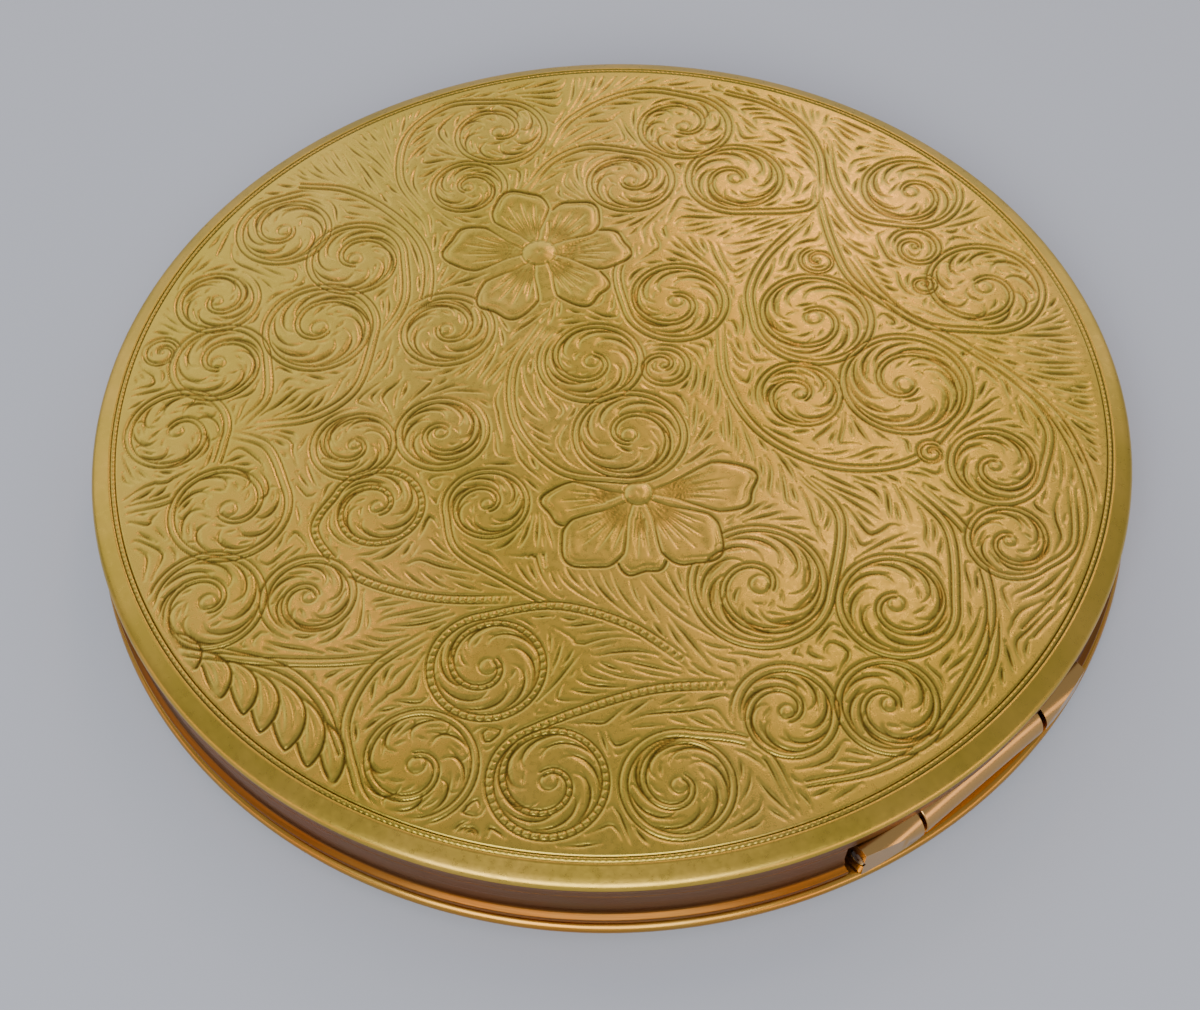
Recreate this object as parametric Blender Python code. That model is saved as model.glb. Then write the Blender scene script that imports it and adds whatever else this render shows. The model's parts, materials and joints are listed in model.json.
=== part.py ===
"""A slim round powder compact in gold-coloured metal.

Frame: the origin is the centre of the flat underside, +Z is up, the lid's hinge is at
+Y with its pin along X, and the push catch is at -Y. Sizes are in millimetres here and
become metres when a mesh is made.

The base carries a powder well, a sifter and a puff under a hinged inner door. The lid
carries the mirror. A knuckle hinge joins lid and base, and a sliding button with a hook
holds the lid shut.
"""

import math

import bmesh
import bpy
from mathutils import Vector

MM = 0.001
TURN_STEPS = 72
SHARP_ANGLE = math.radians(30)
GAP = 0.2
MERGE = 0.001

# Base
BASE_FLAT_R = 34.4
BASE_BEAD_R = 38.2
BASE_BEAD_SECTION_R = 0.46
BASE_BEAD_Z = 1.45
BASE_BEAD_TOP = 1.9
BASE_FLOOR = 0.45
BASE_INNER_R = 36.6
UPSTAND_R = 36.3
UPSTAND_WALL = 0.7
UPSTAND_TOP = 4.3
UPSTAND_LOW = 1.95
UPSTAND_GAP_HALF = 16.0

# Lid
LID_FLARE_R = 37.86
LID_EDGE_R = 37.5
LID_WALL_R = 37.4
LID_INNER_R = 36.85
LID_BOTTOM = 2.1
LID_EDGE_Z = 6.9
LID_BORDER_R = 36.03
LID_BORDER_Z = 7.35
LID_FIELD_R = 35.57
LID_CENTRE_Z = 7.72
LID_CEILING = 6.65

# Lid hinge
HINGE_Y = 36.3
HINGE_Z = 3.7
KNUCKLE_R = 1.5
KNUCKLE_BORE_R = 0.6
PIN_R = 0.5
MIDDLE_HALF = 5.35
OUTER_FROM = 5.65
OUTER_TO = 10.0
HINGE_NOTCH_HALF = 10.6
HINGE_NOTCH_TOP = 5.4

# Deck, well and inner door
DECK_R = 35.4
DECK_LOW = 3.6
DECK_TOP = 4.0
DECK_HOLE_R = 26.9
DECK_BACK_Y = 34.5
DOOR_R = 26.6
DOOR_TOP = 3.9
WELL_R = 28.0
WELL_WALL = 0.4
WELL_LOW = 0.65
WELL_TOP = 3.35
DOOR_HINGE_Y = 27.75
DOOR_HINGE_Z = 4.55
DOOR_KNUCKLE_R = 0.45
DOOR_BORE_R = 0.27
DOOR_PIN_R = 0.2
DOOR_MIDDLE_HALF = 2.2
DOOR_OUTER_FROM = 2.4
DOOR_OUTER_TO = 4.6
POWDER_R = 27.3
POWDER_LOW = 1.1
POWDER_TOP = 1.8
SIFTER_R = 27.35
SIFTER_HOLE_R = 25.9
SIFTER_LOW = 1.95
SIFTER_TOP = 2.9
GAUZE_R = 26.5
GAUZE_LOW = 2.28
GAUZE_TOP = 2.38
PUFF_LOW = 2.55
PUFF_TOP = 3.3
RIBBON_HALF_W = 4.5
RIBBON_HALF_L = 22.0
RIBBON_LOW = 3.38
RIBBON_TOP = 3.5

# Mirror
GLASS_R = 33.2
GLASS_LOW = 5.3
GLASS_TOP = 6.2
BEZEL_R = 34.3
BEZEL_WALL = 0.8
BEZEL_LIP_R = 32.0
BEZEL_LOW = 4.9
BEZEL_TOP = 6.5

# Catch
CATCH_NOTCH_HALF = 4.3
CATCH_NOTCH_TOP = 4.8
BUTTON_FACE_R = 38.3
BUTTON_HALF = 4.0
BUTTON_LOW = 2.3
BUTTON_TOP = 4.4
SHANK_HALF = 2.4
SHANK_END_Y = -35.75
HOOK_HALF = 1.6
HOOK_TAIL_Y = -31.6
SPRING_COIL_R = 0.5
SPRING_WIRE_R = 0.14
SPRING_TURNS = 5
SPRING_POINTS_PER_TURN = 10

GOLD = ("gold", (0.62, 0.43, 0.14), 0.28, 1.0)
GOLD_DARK = ("gold_lid", (0.50, 0.37, 0.13), 0.34, 1.0)
STEEL = ("steel", (0.55, 0.55, 0.56), 0.35, 1.0)
MIRROR = ("mirror", (0.86, 0.88, 0.90), 0.03, 1.0)
CARD = ("card", (0.30, 0.24, 0.18), 0.9, 0.0)
POWDER = ("powder", (0.86, 0.66, 0.52), 0.95, 0.0)
GAUZE = ("gauze", (0.83, 0.76, 0.66), 0.9, 0.0)
VELOUR = ("velour", (0.87, 0.72, 0.62), 1.0, 0.0)
SATIN = ("satin_ribbon", (0.86, 0.62, 0.58), 0.45, 0.0)


def clear_scene():
    for thing in list(bpy.data.objects):
        bpy.data.objects.remove(thing)


def material(spec):
    """The named Principled material, made the first time it is asked for."""
    name, colour, roughness, metallic = spec
    found = bpy.data.materials.get(name)
    if found:
        return found
    made = bpy.data.materials.new(name)
    made.use_nodes = True
    shader = made.node_tree.nodes["Principled BSDF"]
    shader.inputs["Base Color"].default_value = (*colour, 1.0)
    shader.inputs["Roughness"].default_value = roughness
    shader.inputs["Metallic"].default_value = metallic
    made.diffuse_color = (*colour, 1.0)
    return made


def pivot(name, place):
    """An empty on a joint's axis, which carries the pieces that move with it."""
    empty = bpy.data.objects.new(name, None)
    empty.location = Vector(place) * MM
    bpy.context.scene.collection.objects.link(empty)
    return empty


def finish_mesh(name, shape, spec, parent):
    """Turns a bmesh drawn in world millimetres into an object under its pivot, if it has one."""
    bmesh.ops.remove_doubles(shape, verts=shape.verts, dist=MERGE)
    bmesh.ops.recalc_face_normals(shape, faces=shape.faces)
    start = parent.location.copy() if parent else Vector((0, 0, 0))
    for vertex in shape.verts:
        vertex.co = vertex.co * MM - start
    mesh = bpy.data.meshes.new(name)
    shape.to_mesh(mesh)
    shape.free()
    mesh.shade_smooth()
    mesh.set_sharp_from_angle(angle=SHARP_ANGLE)
    made = bpy.data.objects.new(name, mesh)
    bpy.context.scene.collection.objects.link(made)
    made.parent = parent
    if spec:
        mesh.materials.append(material(spec))
    else:
        made.hide_render = True
        made.display_type = "WIRE"
    return made


def arc(centre_a, centre_b, radius, start, end, steps):
    """Points on a circle in a profile's plane, from one angle in degrees to another."""
    points = []
    for i in range(steps + 1):
        angle = math.radians(start + (end - start) * i / steps)
        points.append((centre_a + radius * math.cos(angle), centre_b + radius * math.sin(angle)))
    return points


def turned(name, profile, spec, parent=None, steps=TURN_STEPS):
    """A solid of revolution about Z from (radius, height) points.

    A profile that starts and ends on the axis is a disc, and any other is a closed ring.
    """
    shape = bmesh.new()
    rim = [shape.verts.new((radius, 0, height)) for radius, height in profile]
    pairs = list(zip(rim, rim[1:]))
    if profile[0][0] > 0:
        pairs.append((rim[-1], rim[0]))
    edges = [shape.edges.new(pair) for pair in pairs]
    bmesh.ops.spin(
        shape,
        geom=rim + edges,
        cent=(0, 0, 0),
        axis=(0, 0, 1),
        angle=math.tau,
        steps=steps,
    )
    return finish_mesh(name, shape, spec, parent)


def extruded(name, outline, along, low, high, spec, parent=None):
    """A prism: an outline in the plane across one axis, pushed along it from low to high."""
    place = {
        "X": lambda a, b, c: (c, a, b),
        "Y": lambda a, b, c: (a, c, b),
        "Z": lambda a, b, c: (a, b, c),
    }[along]
    shape = bmesh.new()
    face = shape.faces.new([shape.verts.new(place(a, b, low)) for a, b in outline])
    pushed = bmesh.ops.extrude_face_region(shape, geom=[face])["geom"]
    moved = [item for item in pushed if isinstance(item, bmesh.types.BMVert)]
    bmesh.ops.translate(shape, verts=moved, vec=place(0, 0, high - low))
    return finish_mesh(name, shape, spec, parent)


def block(name, low, high, spec, parent=None):
    """A plain box between two corners."""
    outline = [(low[0], low[1]), (high[0], low[1]), (high[0], high[1]), (low[0], high[1])]
    return extruded(name, outline, "Z", low[2], high[2], spec, parent)


def rod(name, radius, centre, low, high, spec, parent=None, steps=16):
    """A round rod along X, centred on (y, z)."""
    outline = arc(centre[0], centre[1], radius, 0, 360, steps)[:-1]
    return extruded(name, outline, "X", low, high, spec, parent)


def cut(target, cutter):
    """Takes the cutter's shape out of the target."""
    change = target.modifiers.new(cutter.name, "BOOLEAN")
    change.operation = "DIFFERENCE"
    change.solver = "EXACT"
    change.object = cutter


def make_base():
    """The shell that stands on the table, with a beaded rim, and its raised inner ring."""
    corner = arc(BASE_FLAT_R, 3.0, 3.0, -90, -22, 7)
    bead = arc(BASE_BEAD_R - BASE_BEAD_SECTION_R, BASE_BEAD_Z, BASE_BEAD_SECTION_R, -70, 78, 8)
    outside = [(0, 0)] + corner + bead
    inside = [
        (37.7, BASE_BEAD_TOP),
        (BASE_INNER_R, BASE_BEAD_TOP),
        (BASE_INNER_R, 1.2),
        (34.3, BASE_FLOOR),
        (0, BASE_FLOOR),
    ]
    turned("base_shell", outside + inside, GOLD)

    inner = UPSTAND_R - UPSTAND_WALL
    ring = turned(
        "base_bezel",
        [
            (UPSTAND_R, 1.3),
            (UPSTAND_R, UPSTAND_TOP - 0.25),
            (UPSTAND_R - 0.2, UPSTAND_TOP),
            (inner + 0.15, UPSTAND_TOP),
            (inner, UPSTAND_TOP - 0.15),
            (inner, 3.35),
            (inner - 1.0, 3.35),
            (inner - 1.0, 3.05),
            (inner, 3.05),
            (inner, 1.3),
        ],
        GOLD,
    )
    hinge_room = block(
        "hinge_room",
        (-UPSTAND_GAP_HALF, 25, UPSTAND_LOW),
        (UPSTAND_GAP_HALF, 40, 8),
        None,
    )
    catch_room = block("catch_room", (-4.8, -40, 0.5), (4.8, -30, 8), None)
    cut(ring, hinge_room)
    cut(ring, catch_room)


def make_lid(lid_pivot):
    """The lid's shell: a low dome, a sloping border, a rounded shoulder and a flared wall."""
    outside = [
        (0, LID_CENTRE_Z),
        (12, LID_CENTRE_Z - 0.04),
        (24, LID_CENTRE_Z - 0.16),
        (LID_FIELD_R, LID_BORDER_Z + 0.02),
        (LID_BORDER_R, LID_BORDER_Z),
        (37.0, LID_EDGE_Z + 0.16),
    ]
    shoulder = arc(LID_EDGE_R - 0.32, LID_EDGE_Z - 0.25, 0.32, 72, 0, 4)
    wall = [(LID_WALL_R, 5.8), (LID_WALL_R - 0.04, 3.6)]
    cove = arc(LID_FLARE_R, 3.05, 0.42, 160, 215, 3)
    foot = [(LID_FLARE_R, 2.45), (LID_FLARE_R, LID_BOTTOM)]
    inside = [(LID_INNER_R, LID_BOTTOM), (LID_INNER_R, 6.25), (36.45, LID_CEILING), (0, LID_CEILING)]
    shell = turned("lid_shell", outside + shoulder + wall + cove + foot + inside, GOLD_DARK, lid_pivot)

    hinge_notch = block(
        "hinge_notch",
        (-HINGE_NOTCH_HALF, 34.4, 1),
        (HINGE_NOTCH_HALF, 40, HINGE_NOTCH_TOP),
        None,
        lid_pivot,
    )
    button_notch = block(
        "button_notch",
        (-CATCH_NOTCH_HALF, -40, 1),
        (CATCH_NOTCH_HALF, -35.5, CATCH_NOTCH_TOP),
        None,
        lid_pivot,
    )
    cut(shell, hinge_notch)
    cut(shell, button_notch)


def make_mirror(lid_pivot):
    """The glass, the card behind it, and the ring that holds both in the lid."""
    glass_edge = 0.15
    turned(
        "mirror_glass",
        [
            (0, GLASS_TOP),
            (GLASS_R, GLASS_TOP),
            (GLASS_R, GLASS_LOW + glass_edge),
            (GLASS_R - glass_edge, GLASS_LOW),
            (0, GLASS_LOW),
        ],
        MIRROR,
        lid_pivot,
    )
    card_low = GLASS_TOP + 0.12
    card_top = LID_CEILING - 0.12
    turned(
        "mirror_backing",
        [(0, card_top), (GLASS_R, card_top), (GLASS_R, card_low), (0, card_low)],
        CARD,
        lid_pivot,
    )
    inner = BEZEL_R - BEZEL_WALL
    turned(
        "mirror_bezel",
        [
            (BEZEL_R, BEZEL_TOP),
            (BEZEL_R, BEZEL_LOW + 0.3),
            (BEZEL_R - 0.3, BEZEL_LOW),
            (BEZEL_LIP_R + 0.3, BEZEL_LOW),
            (BEZEL_LIP_R, BEZEL_LOW + 0.25),
            (inner, BEZEL_LOW + 0.28),
            (inner, BEZEL_TOP),
        ],
        GOLD,
        lid_pivot,
    )


def knuckle_outline(leg):
    """A knuckle's outline across the pin: a round tube with a flat leg below it or above it."""
    if leg == "down":
        tube = arc(HINGE_Y, HINGE_Z, KNUCKLE_R, -30, 180, 20)
        return tube + [(HINGE_Y - KNUCKLE_R, 2.15), (HINGE_Y + 0.65, 2.15)]
    tube = arc(HINGE_Y, HINGE_Z, KNUCKLE_R, 180, 450, 22)
    return tube + [(HINGE_Y, 6.35), (HINGE_Y - KNUCKLE_R, 6.35)]


def make_hinge(lid_pivot):
    """Two knuckles on the base, one on the lid and the pin through all three."""
    axis = (HINGE_Y, HINGE_Z)
    for side, low, high in (("left", -OUTER_TO, -OUTER_FROM), ("right", OUTER_FROM, OUTER_TO)):
        outer = extruded(f"hinge_knuckle_{side}", knuckle_outline("down"), "X", low, high, GOLD)
        bore = rod(f"bore_{side}", KNUCKLE_BORE_R, axis, low - 1, high + 1, None)
        cut(outer, bore)
    middle = extruded(
        "hinge_knuckle_centre",
        knuckle_outline("up"),
        "X",
        -MIDDLE_HALF,
        MIDDLE_HALF,
        GOLD,
        lid_pivot,
    )
    bore = rod("bore_centre", KNUCKLE_BORE_R, axis, -MIDDLE_HALF - 1, MIDDLE_HALF + 1, None, lid_pivot)
    cut(middle, bore)
    rod("hinge_pin", PIN_R, axis, -OUTER_TO, OUTER_TO, STEEL)


def make_deck_and_well():
    """The flat deck, the powder cup under it, the powder, and the gauze sifter in its ring."""
    deck = turned(
        "deck_plate",
        [
            (DECK_R, DECK_LOW),
            (DECK_R, DECK_TOP - 0.1),
            (DECK_R - 0.1, DECK_TOP),
            (DECK_HOLE_R + 0.1, DECK_TOP),
            (DECK_HOLE_R, DECK_TOP - 0.1),
            (DECK_HOLE_R, DECK_LOW),
        ],
        GOLD,
    )
    back_edge = block("deck_back_edge", (-12, DECK_BACK_Y, 3), (12, 40, 5), None)
    slot_half = SHANK_HALF + 0.4
    hook_slot = block("deck_hook_slot", (-slot_half, -40, 3), (slot_half, -34.2, 5), None)
    cut(deck, back_edge)
    cut(deck, hook_slot)

    inner = WELL_R - WELL_WALL
    turned(
        "powder_well",
        [
            (0, WELL_LOW),
            (WELL_R - 0.5, WELL_LOW),
            (WELL_R, WELL_LOW + 0.5),
            (WELL_R, WELL_TOP),
            (inner, WELL_TOP),
            (inner, WELL_LOW + 0.6),
            (inner - 0.3, WELL_LOW + 0.3),
            (0, WELL_LOW + 0.3),
        ],
        GOLD,
    )
    turned(
        "powder_fill",
        [
            (0, POWDER_LOW),
            (POWDER_R - 0.3, POWDER_LOW),
            (POWDER_R, POWDER_LOW + 0.2),
            (POWDER_R, POWDER_TOP - 0.05),
            (0, POWDER_TOP),
        ],
        POWDER,
    )
    ring_wall = 0.6
    ring_foot = SIFTER_LOW + 0.2
    turned(
        "sifter_ring",
        [
            (SIFTER_R, SIFTER_LOW),
            (SIFTER_R, SIFTER_TOP),
            (SIFTER_R - ring_wall, SIFTER_TOP),
            (SIFTER_R - ring_wall, ring_foot),
            (SIFTER_HOLE_R, ring_foot),
            (SIFTER_HOLE_R, SIFTER_LOW),
        ],
        GOLD,
    )
    turned(
        "sifter_gauze",
        [(0, GAUZE_LOW), (GAUZE_R, GAUZE_LOW), (GAUZE_R, GAUZE_TOP), (0, GAUZE_TOP)],
        GAUZE,
    )


def make_puff():
    """A flat round velour puff on the sifter, with a satin ribbon across it."""
    edge = arc(24.95, 2.93, 0.37, -70, 70, 4)
    turned("powder_puff", [(0, PUFF_LOW)] + edge + [(0, PUFF_TOP)], VELOUR)
    block(
        "puff_ribbon",
        (-RIBBON_HALF_W, -RIBBON_HALF_L, RIBBON_LOW),
        (RIBBON_HALF_W, RIBBON_HALF_L, RIBBON_TOP),
        SATIN,
    )


def make_door(door_pivot):
    """The inner door over the well, with its own small hinge and a tab to lift it by."""
    turned(
        "powder_door",
        [
            (0, DOOR_TOP),
            (DOOR_R - 0.1, DOOR_TOP),
            (DOOR_R, DOOR_TOP - 0.1),
            (DOOR_R, DECK_LOW),
            (0, DECK_LOW),
        ],
        GOLD,
        door_pivot,
    )
    axis = (DOOR_HINGE_Y, DOOR_HINGE_Z)
    leaf_low = 4.05
    tube = arc(*axis, DOOR_KNUCKLE_R, -90, 180, 12)
    leaf_top = 4.4
    leaf_end = 24.4
    leaf = tube + [
        (DOOR_HINGE_Y - DOOR_KNUCKLE_R, leaf_top),
        (leaf_end, leaf_top),
        (leaf_end, leaf_low),
        (DOOR_HINGE_Y, leaf_low),
    ]
    middle = extruded(
        "door_hinge_knuckle_centre",
        leaf,
        "X",
        -DOOR_MIDDLE_HALF,
        DOOR_MIDDLE_HALF,
        GOLD,
        door_pivot,
    )
    bore = rod("door_bore_centre", DOOR_BORE_R, axis, -3, 3, None, door_pivot, 12)
    cut(middle, bore)

    foot_end = 29.8
    tube = arc(*axis, DOOR_KNUCKLE_R, 0, 270, 12)
    foot = tube + [
        (foot_end, DOOR_HINGE_Z - DOOR_KNUCKLE_R),
        (foot_end, leaf_top),
        (DOOR_HINGE_Y + DOOR_KNUCKLE_R, leaf_top),
    ]
    sides = (("left", -DOOR_OUTER_TO, -DOOR_OUTER_FROM), ("right", DOOR_OUTER_FROM, DOOR_OUTER_TO))
    for side, low, high in sides:
        outer = extruded(f"door_hinge_knuckle_{side}", foot, "X", low, high, GOLD)
        bore = rod(f"door_bore_{side}", DOOR_BORE_R, axis, low - 1, high + 1, None, None, 12)
        cut(outer, bore)
    rod("door_hinge_pin", DOOR_PIN_R, axis, -DOOR_OUTER_TO, DOOR_OUTER_TO, STEEL, None, 12)

    tab_back_y = -24.6
    round_end = arc(0, 0, 2.5, 180, 360, 12)
    tab = [(x, tab_back_y + y * 0.6) for x, y in round_end]
    extruded("door_lift_tab", tab, "Z", 4.05, 4.35, GOLD, door_pivot)


def make_catch(catch_pivot, lid_pivot):
    """The push button, the hook behind it, their guide and spring, and the lid's strike."""
    spread = math.degrees(math.asin(BUTTON_HALF / BUTTON_FACE_R))
    face = arc(0, 0, BUTTON_FACE_R, -90 - spread, -90 + spread, 8)
    back_y = -37.0
    shank = [
        (BUTTON_HALF, back_y),
        (SHANK_HALF, back_y),
        (SHANK_HALF, SHANK_END_Y),
        (-SHANK_HALF, SHANK_END_Y),
        (-SHANK_HALF, back_y),
        (-BUTTON_HALF, back_y),
    ]
    extruded("catch_button", face + shank, "Z", BUTTON_LOW, BUTTON_TOP, GOLD, catch_pivot)

    stem_front = SHANK_END_Y + GAP
    stem_back = stem_front + 0.4
    nose = stem_front - 0.4
    hook = [
        (stem_front, 2.3),
        (HOOK_TAIL_Y, 2.3),
        (HOOK_TAIL_Y, 3.1),
        (stem_back, 3.1),
        (stem_back, 5.75),
        (nose + 0.25, 5.75),
        (nose, 5.45),
        (nose, 5.35),
        (stem_front, 5.35),
    ]
    extruded("catch_hook", hook, "X", -HOOK_HALF, HOOK_HALF, STEEL, catch_pivot)

    guide_back = -28.35
    guide = block("catch_guide", (-3, -34.4, 0.7), (3, guide_back, 3.35), GOLD)
    channel = block("guide_channel", (-1.85, -36, 2.05), (1.85, guide_back - 0.4, 4), None)
    cut(guide, channel)

    spring_start = HOOK_TAIL_Y + 0.3
    spring_end = guide_back - 0.7
    count = SPRING_TURNS * SPRING_POINTS_PER_TURN
    wire = bpy.data.curves.new("catch_spring", "CURVE")
    wire.dimensions = "3D"
    wire.bevel_depth = SPRING_WIRE_R * MM
    wire.bevel_resolution = 1
    wire.use_fill_caps = True
    line = wire.splines.new("POLY")
    line.points.add(count)
    for i, point in enumerate(line.points):
        angle = math.tau * i / SPRING_POINTS_PER_TURN
        y = spring_start + (spring_end - spring_start) * i / count
        x = SPRING_COIL_R * math.cos(angle)
        z = 2.8 + SPRING_COIL_R * math.sin(angle)
        point.co = (x * MM, y * MM, z * MM, 1)
    wire.materials.append(material(STEEL))
    spring = bpy.data.objects.new("catch_spring", wire)
    bpy.context.scene.collection.objects.link(spring)

    block("lid_strike", (-2.6, -36.5, 4.85), (2.6, -36.1, 5.2), STEEL, lid_pivot)


def main():
    clear_scene()
    lid_pivot = pivot("lid_axis", (0, HINGE_Y, HINGE_Z))
    door_pivot = pivot("door_axis", (0, DOOR_HINGE_Y, DOOR_HINGE_Z))
    catch_pivot = pivot("catch_axis", (0, SHANK_END_Y, (BUTTON_LOW + BUTTON_TOP) / 2))
    make_base()
    make_lid(lid_pivot)
    make_mirror(lid_pivot)
    make_hinge(lid_pivot)
    make_deck_and_well()
    make_puff()
    make_door(door_pivot)
    make_catch(catch_pivot, lid_pivot)


main()
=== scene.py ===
import json
import math

import bmesh
import bpy
import numpy as np
from mathutils import Matrix, Vector


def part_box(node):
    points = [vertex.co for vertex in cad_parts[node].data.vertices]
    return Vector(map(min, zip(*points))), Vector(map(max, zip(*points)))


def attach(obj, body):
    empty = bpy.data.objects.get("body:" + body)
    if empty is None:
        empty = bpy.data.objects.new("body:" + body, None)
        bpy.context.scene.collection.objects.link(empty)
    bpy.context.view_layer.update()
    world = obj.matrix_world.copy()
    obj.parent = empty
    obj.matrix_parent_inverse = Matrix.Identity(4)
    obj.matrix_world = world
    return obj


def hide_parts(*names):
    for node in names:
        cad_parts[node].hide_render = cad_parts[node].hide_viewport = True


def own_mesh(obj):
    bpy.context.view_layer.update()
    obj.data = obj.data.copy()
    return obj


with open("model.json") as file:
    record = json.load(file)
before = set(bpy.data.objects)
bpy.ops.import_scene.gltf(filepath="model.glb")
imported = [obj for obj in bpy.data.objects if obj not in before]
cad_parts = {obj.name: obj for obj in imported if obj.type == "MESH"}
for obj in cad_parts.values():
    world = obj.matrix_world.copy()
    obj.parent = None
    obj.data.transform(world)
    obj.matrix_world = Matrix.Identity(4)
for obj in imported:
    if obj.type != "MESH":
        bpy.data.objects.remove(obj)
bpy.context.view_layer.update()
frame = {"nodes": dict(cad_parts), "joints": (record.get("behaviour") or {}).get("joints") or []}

MM = 0.001


# ---- places taken from the frame, in millimetres -----------------------------------------
def limits(node):
    low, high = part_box(node)
    return [v / MM for v in low], [v / MM for v in high]


lid_low, lid_high = limits("lid_shell")
base_low, base_high = limits("base_shell")
joint_at = {j["name"]: j for j in frame["joints"]}
HINGE_Y, HINGE_Z = (v / MM for v in joint_at["lid_hinge"]["pos_m"][1:])

LID_TOP = lid_high[2]
LID_FOOT = lid_low[2]
LID_FLARE_R = lid_high[0]
LID_EDGE_R = LID_FLARE_R - 0.36
LID_EDGE_Z = LID_TOP - 0.82
LID_WALL_R = LID_EDGE_R - 0.1
LID_INNER_R = LID_EDGE_R - 0.65
LID_CEILING = LID_TOP - 1.07
LID_SEAM = HINGE_Z + 1.7
FIELD_EDGE_R = LID_EDGE_R - 1.93
FIELD_EDGE_Z = LID_TOP - 0.35
BORDER_R = LID_EDGE_R - 1.47
BORDER_Z = LID_TOP - 0.37

# The ornament and the camera are laid out looking at the compact with its hinge at the lower
# right, and then turned so that the hinge lies at +Y.
TURN = math.radians(142)
TURN_COS, TURN_SIN = math.cos(TURN), math.sin(TURN)


def turned_point(x, y, z):
    return Vector((x * TURN_COS - y * TURN_SIN, x * TURN_SIN + y * TURN_COS, z))


# ---- the lid's engraving, drawn as strokes in millimetres -----------------------------------
HALF = 36.0
CELL = 0.06
CELLS = int(2 * HALF / CELL) + 1
STEP = 0.05
ENGRAVED_R = 35.3
WIDEST_CUT, WIDEST_RIDGE = 0.19, 0.8
RIDGE_SHARE, CUT_SHARE, SINK_SHARE, SINK_BLUR = 0.8, 0.85, 0.12, 0.2
# How deep a cut must be to carry the full painted shade, and how fast the painted shade grows with depth.
SHADE_FULL_DEPTH, SHADE_POWER = 0.11, 1.8
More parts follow.
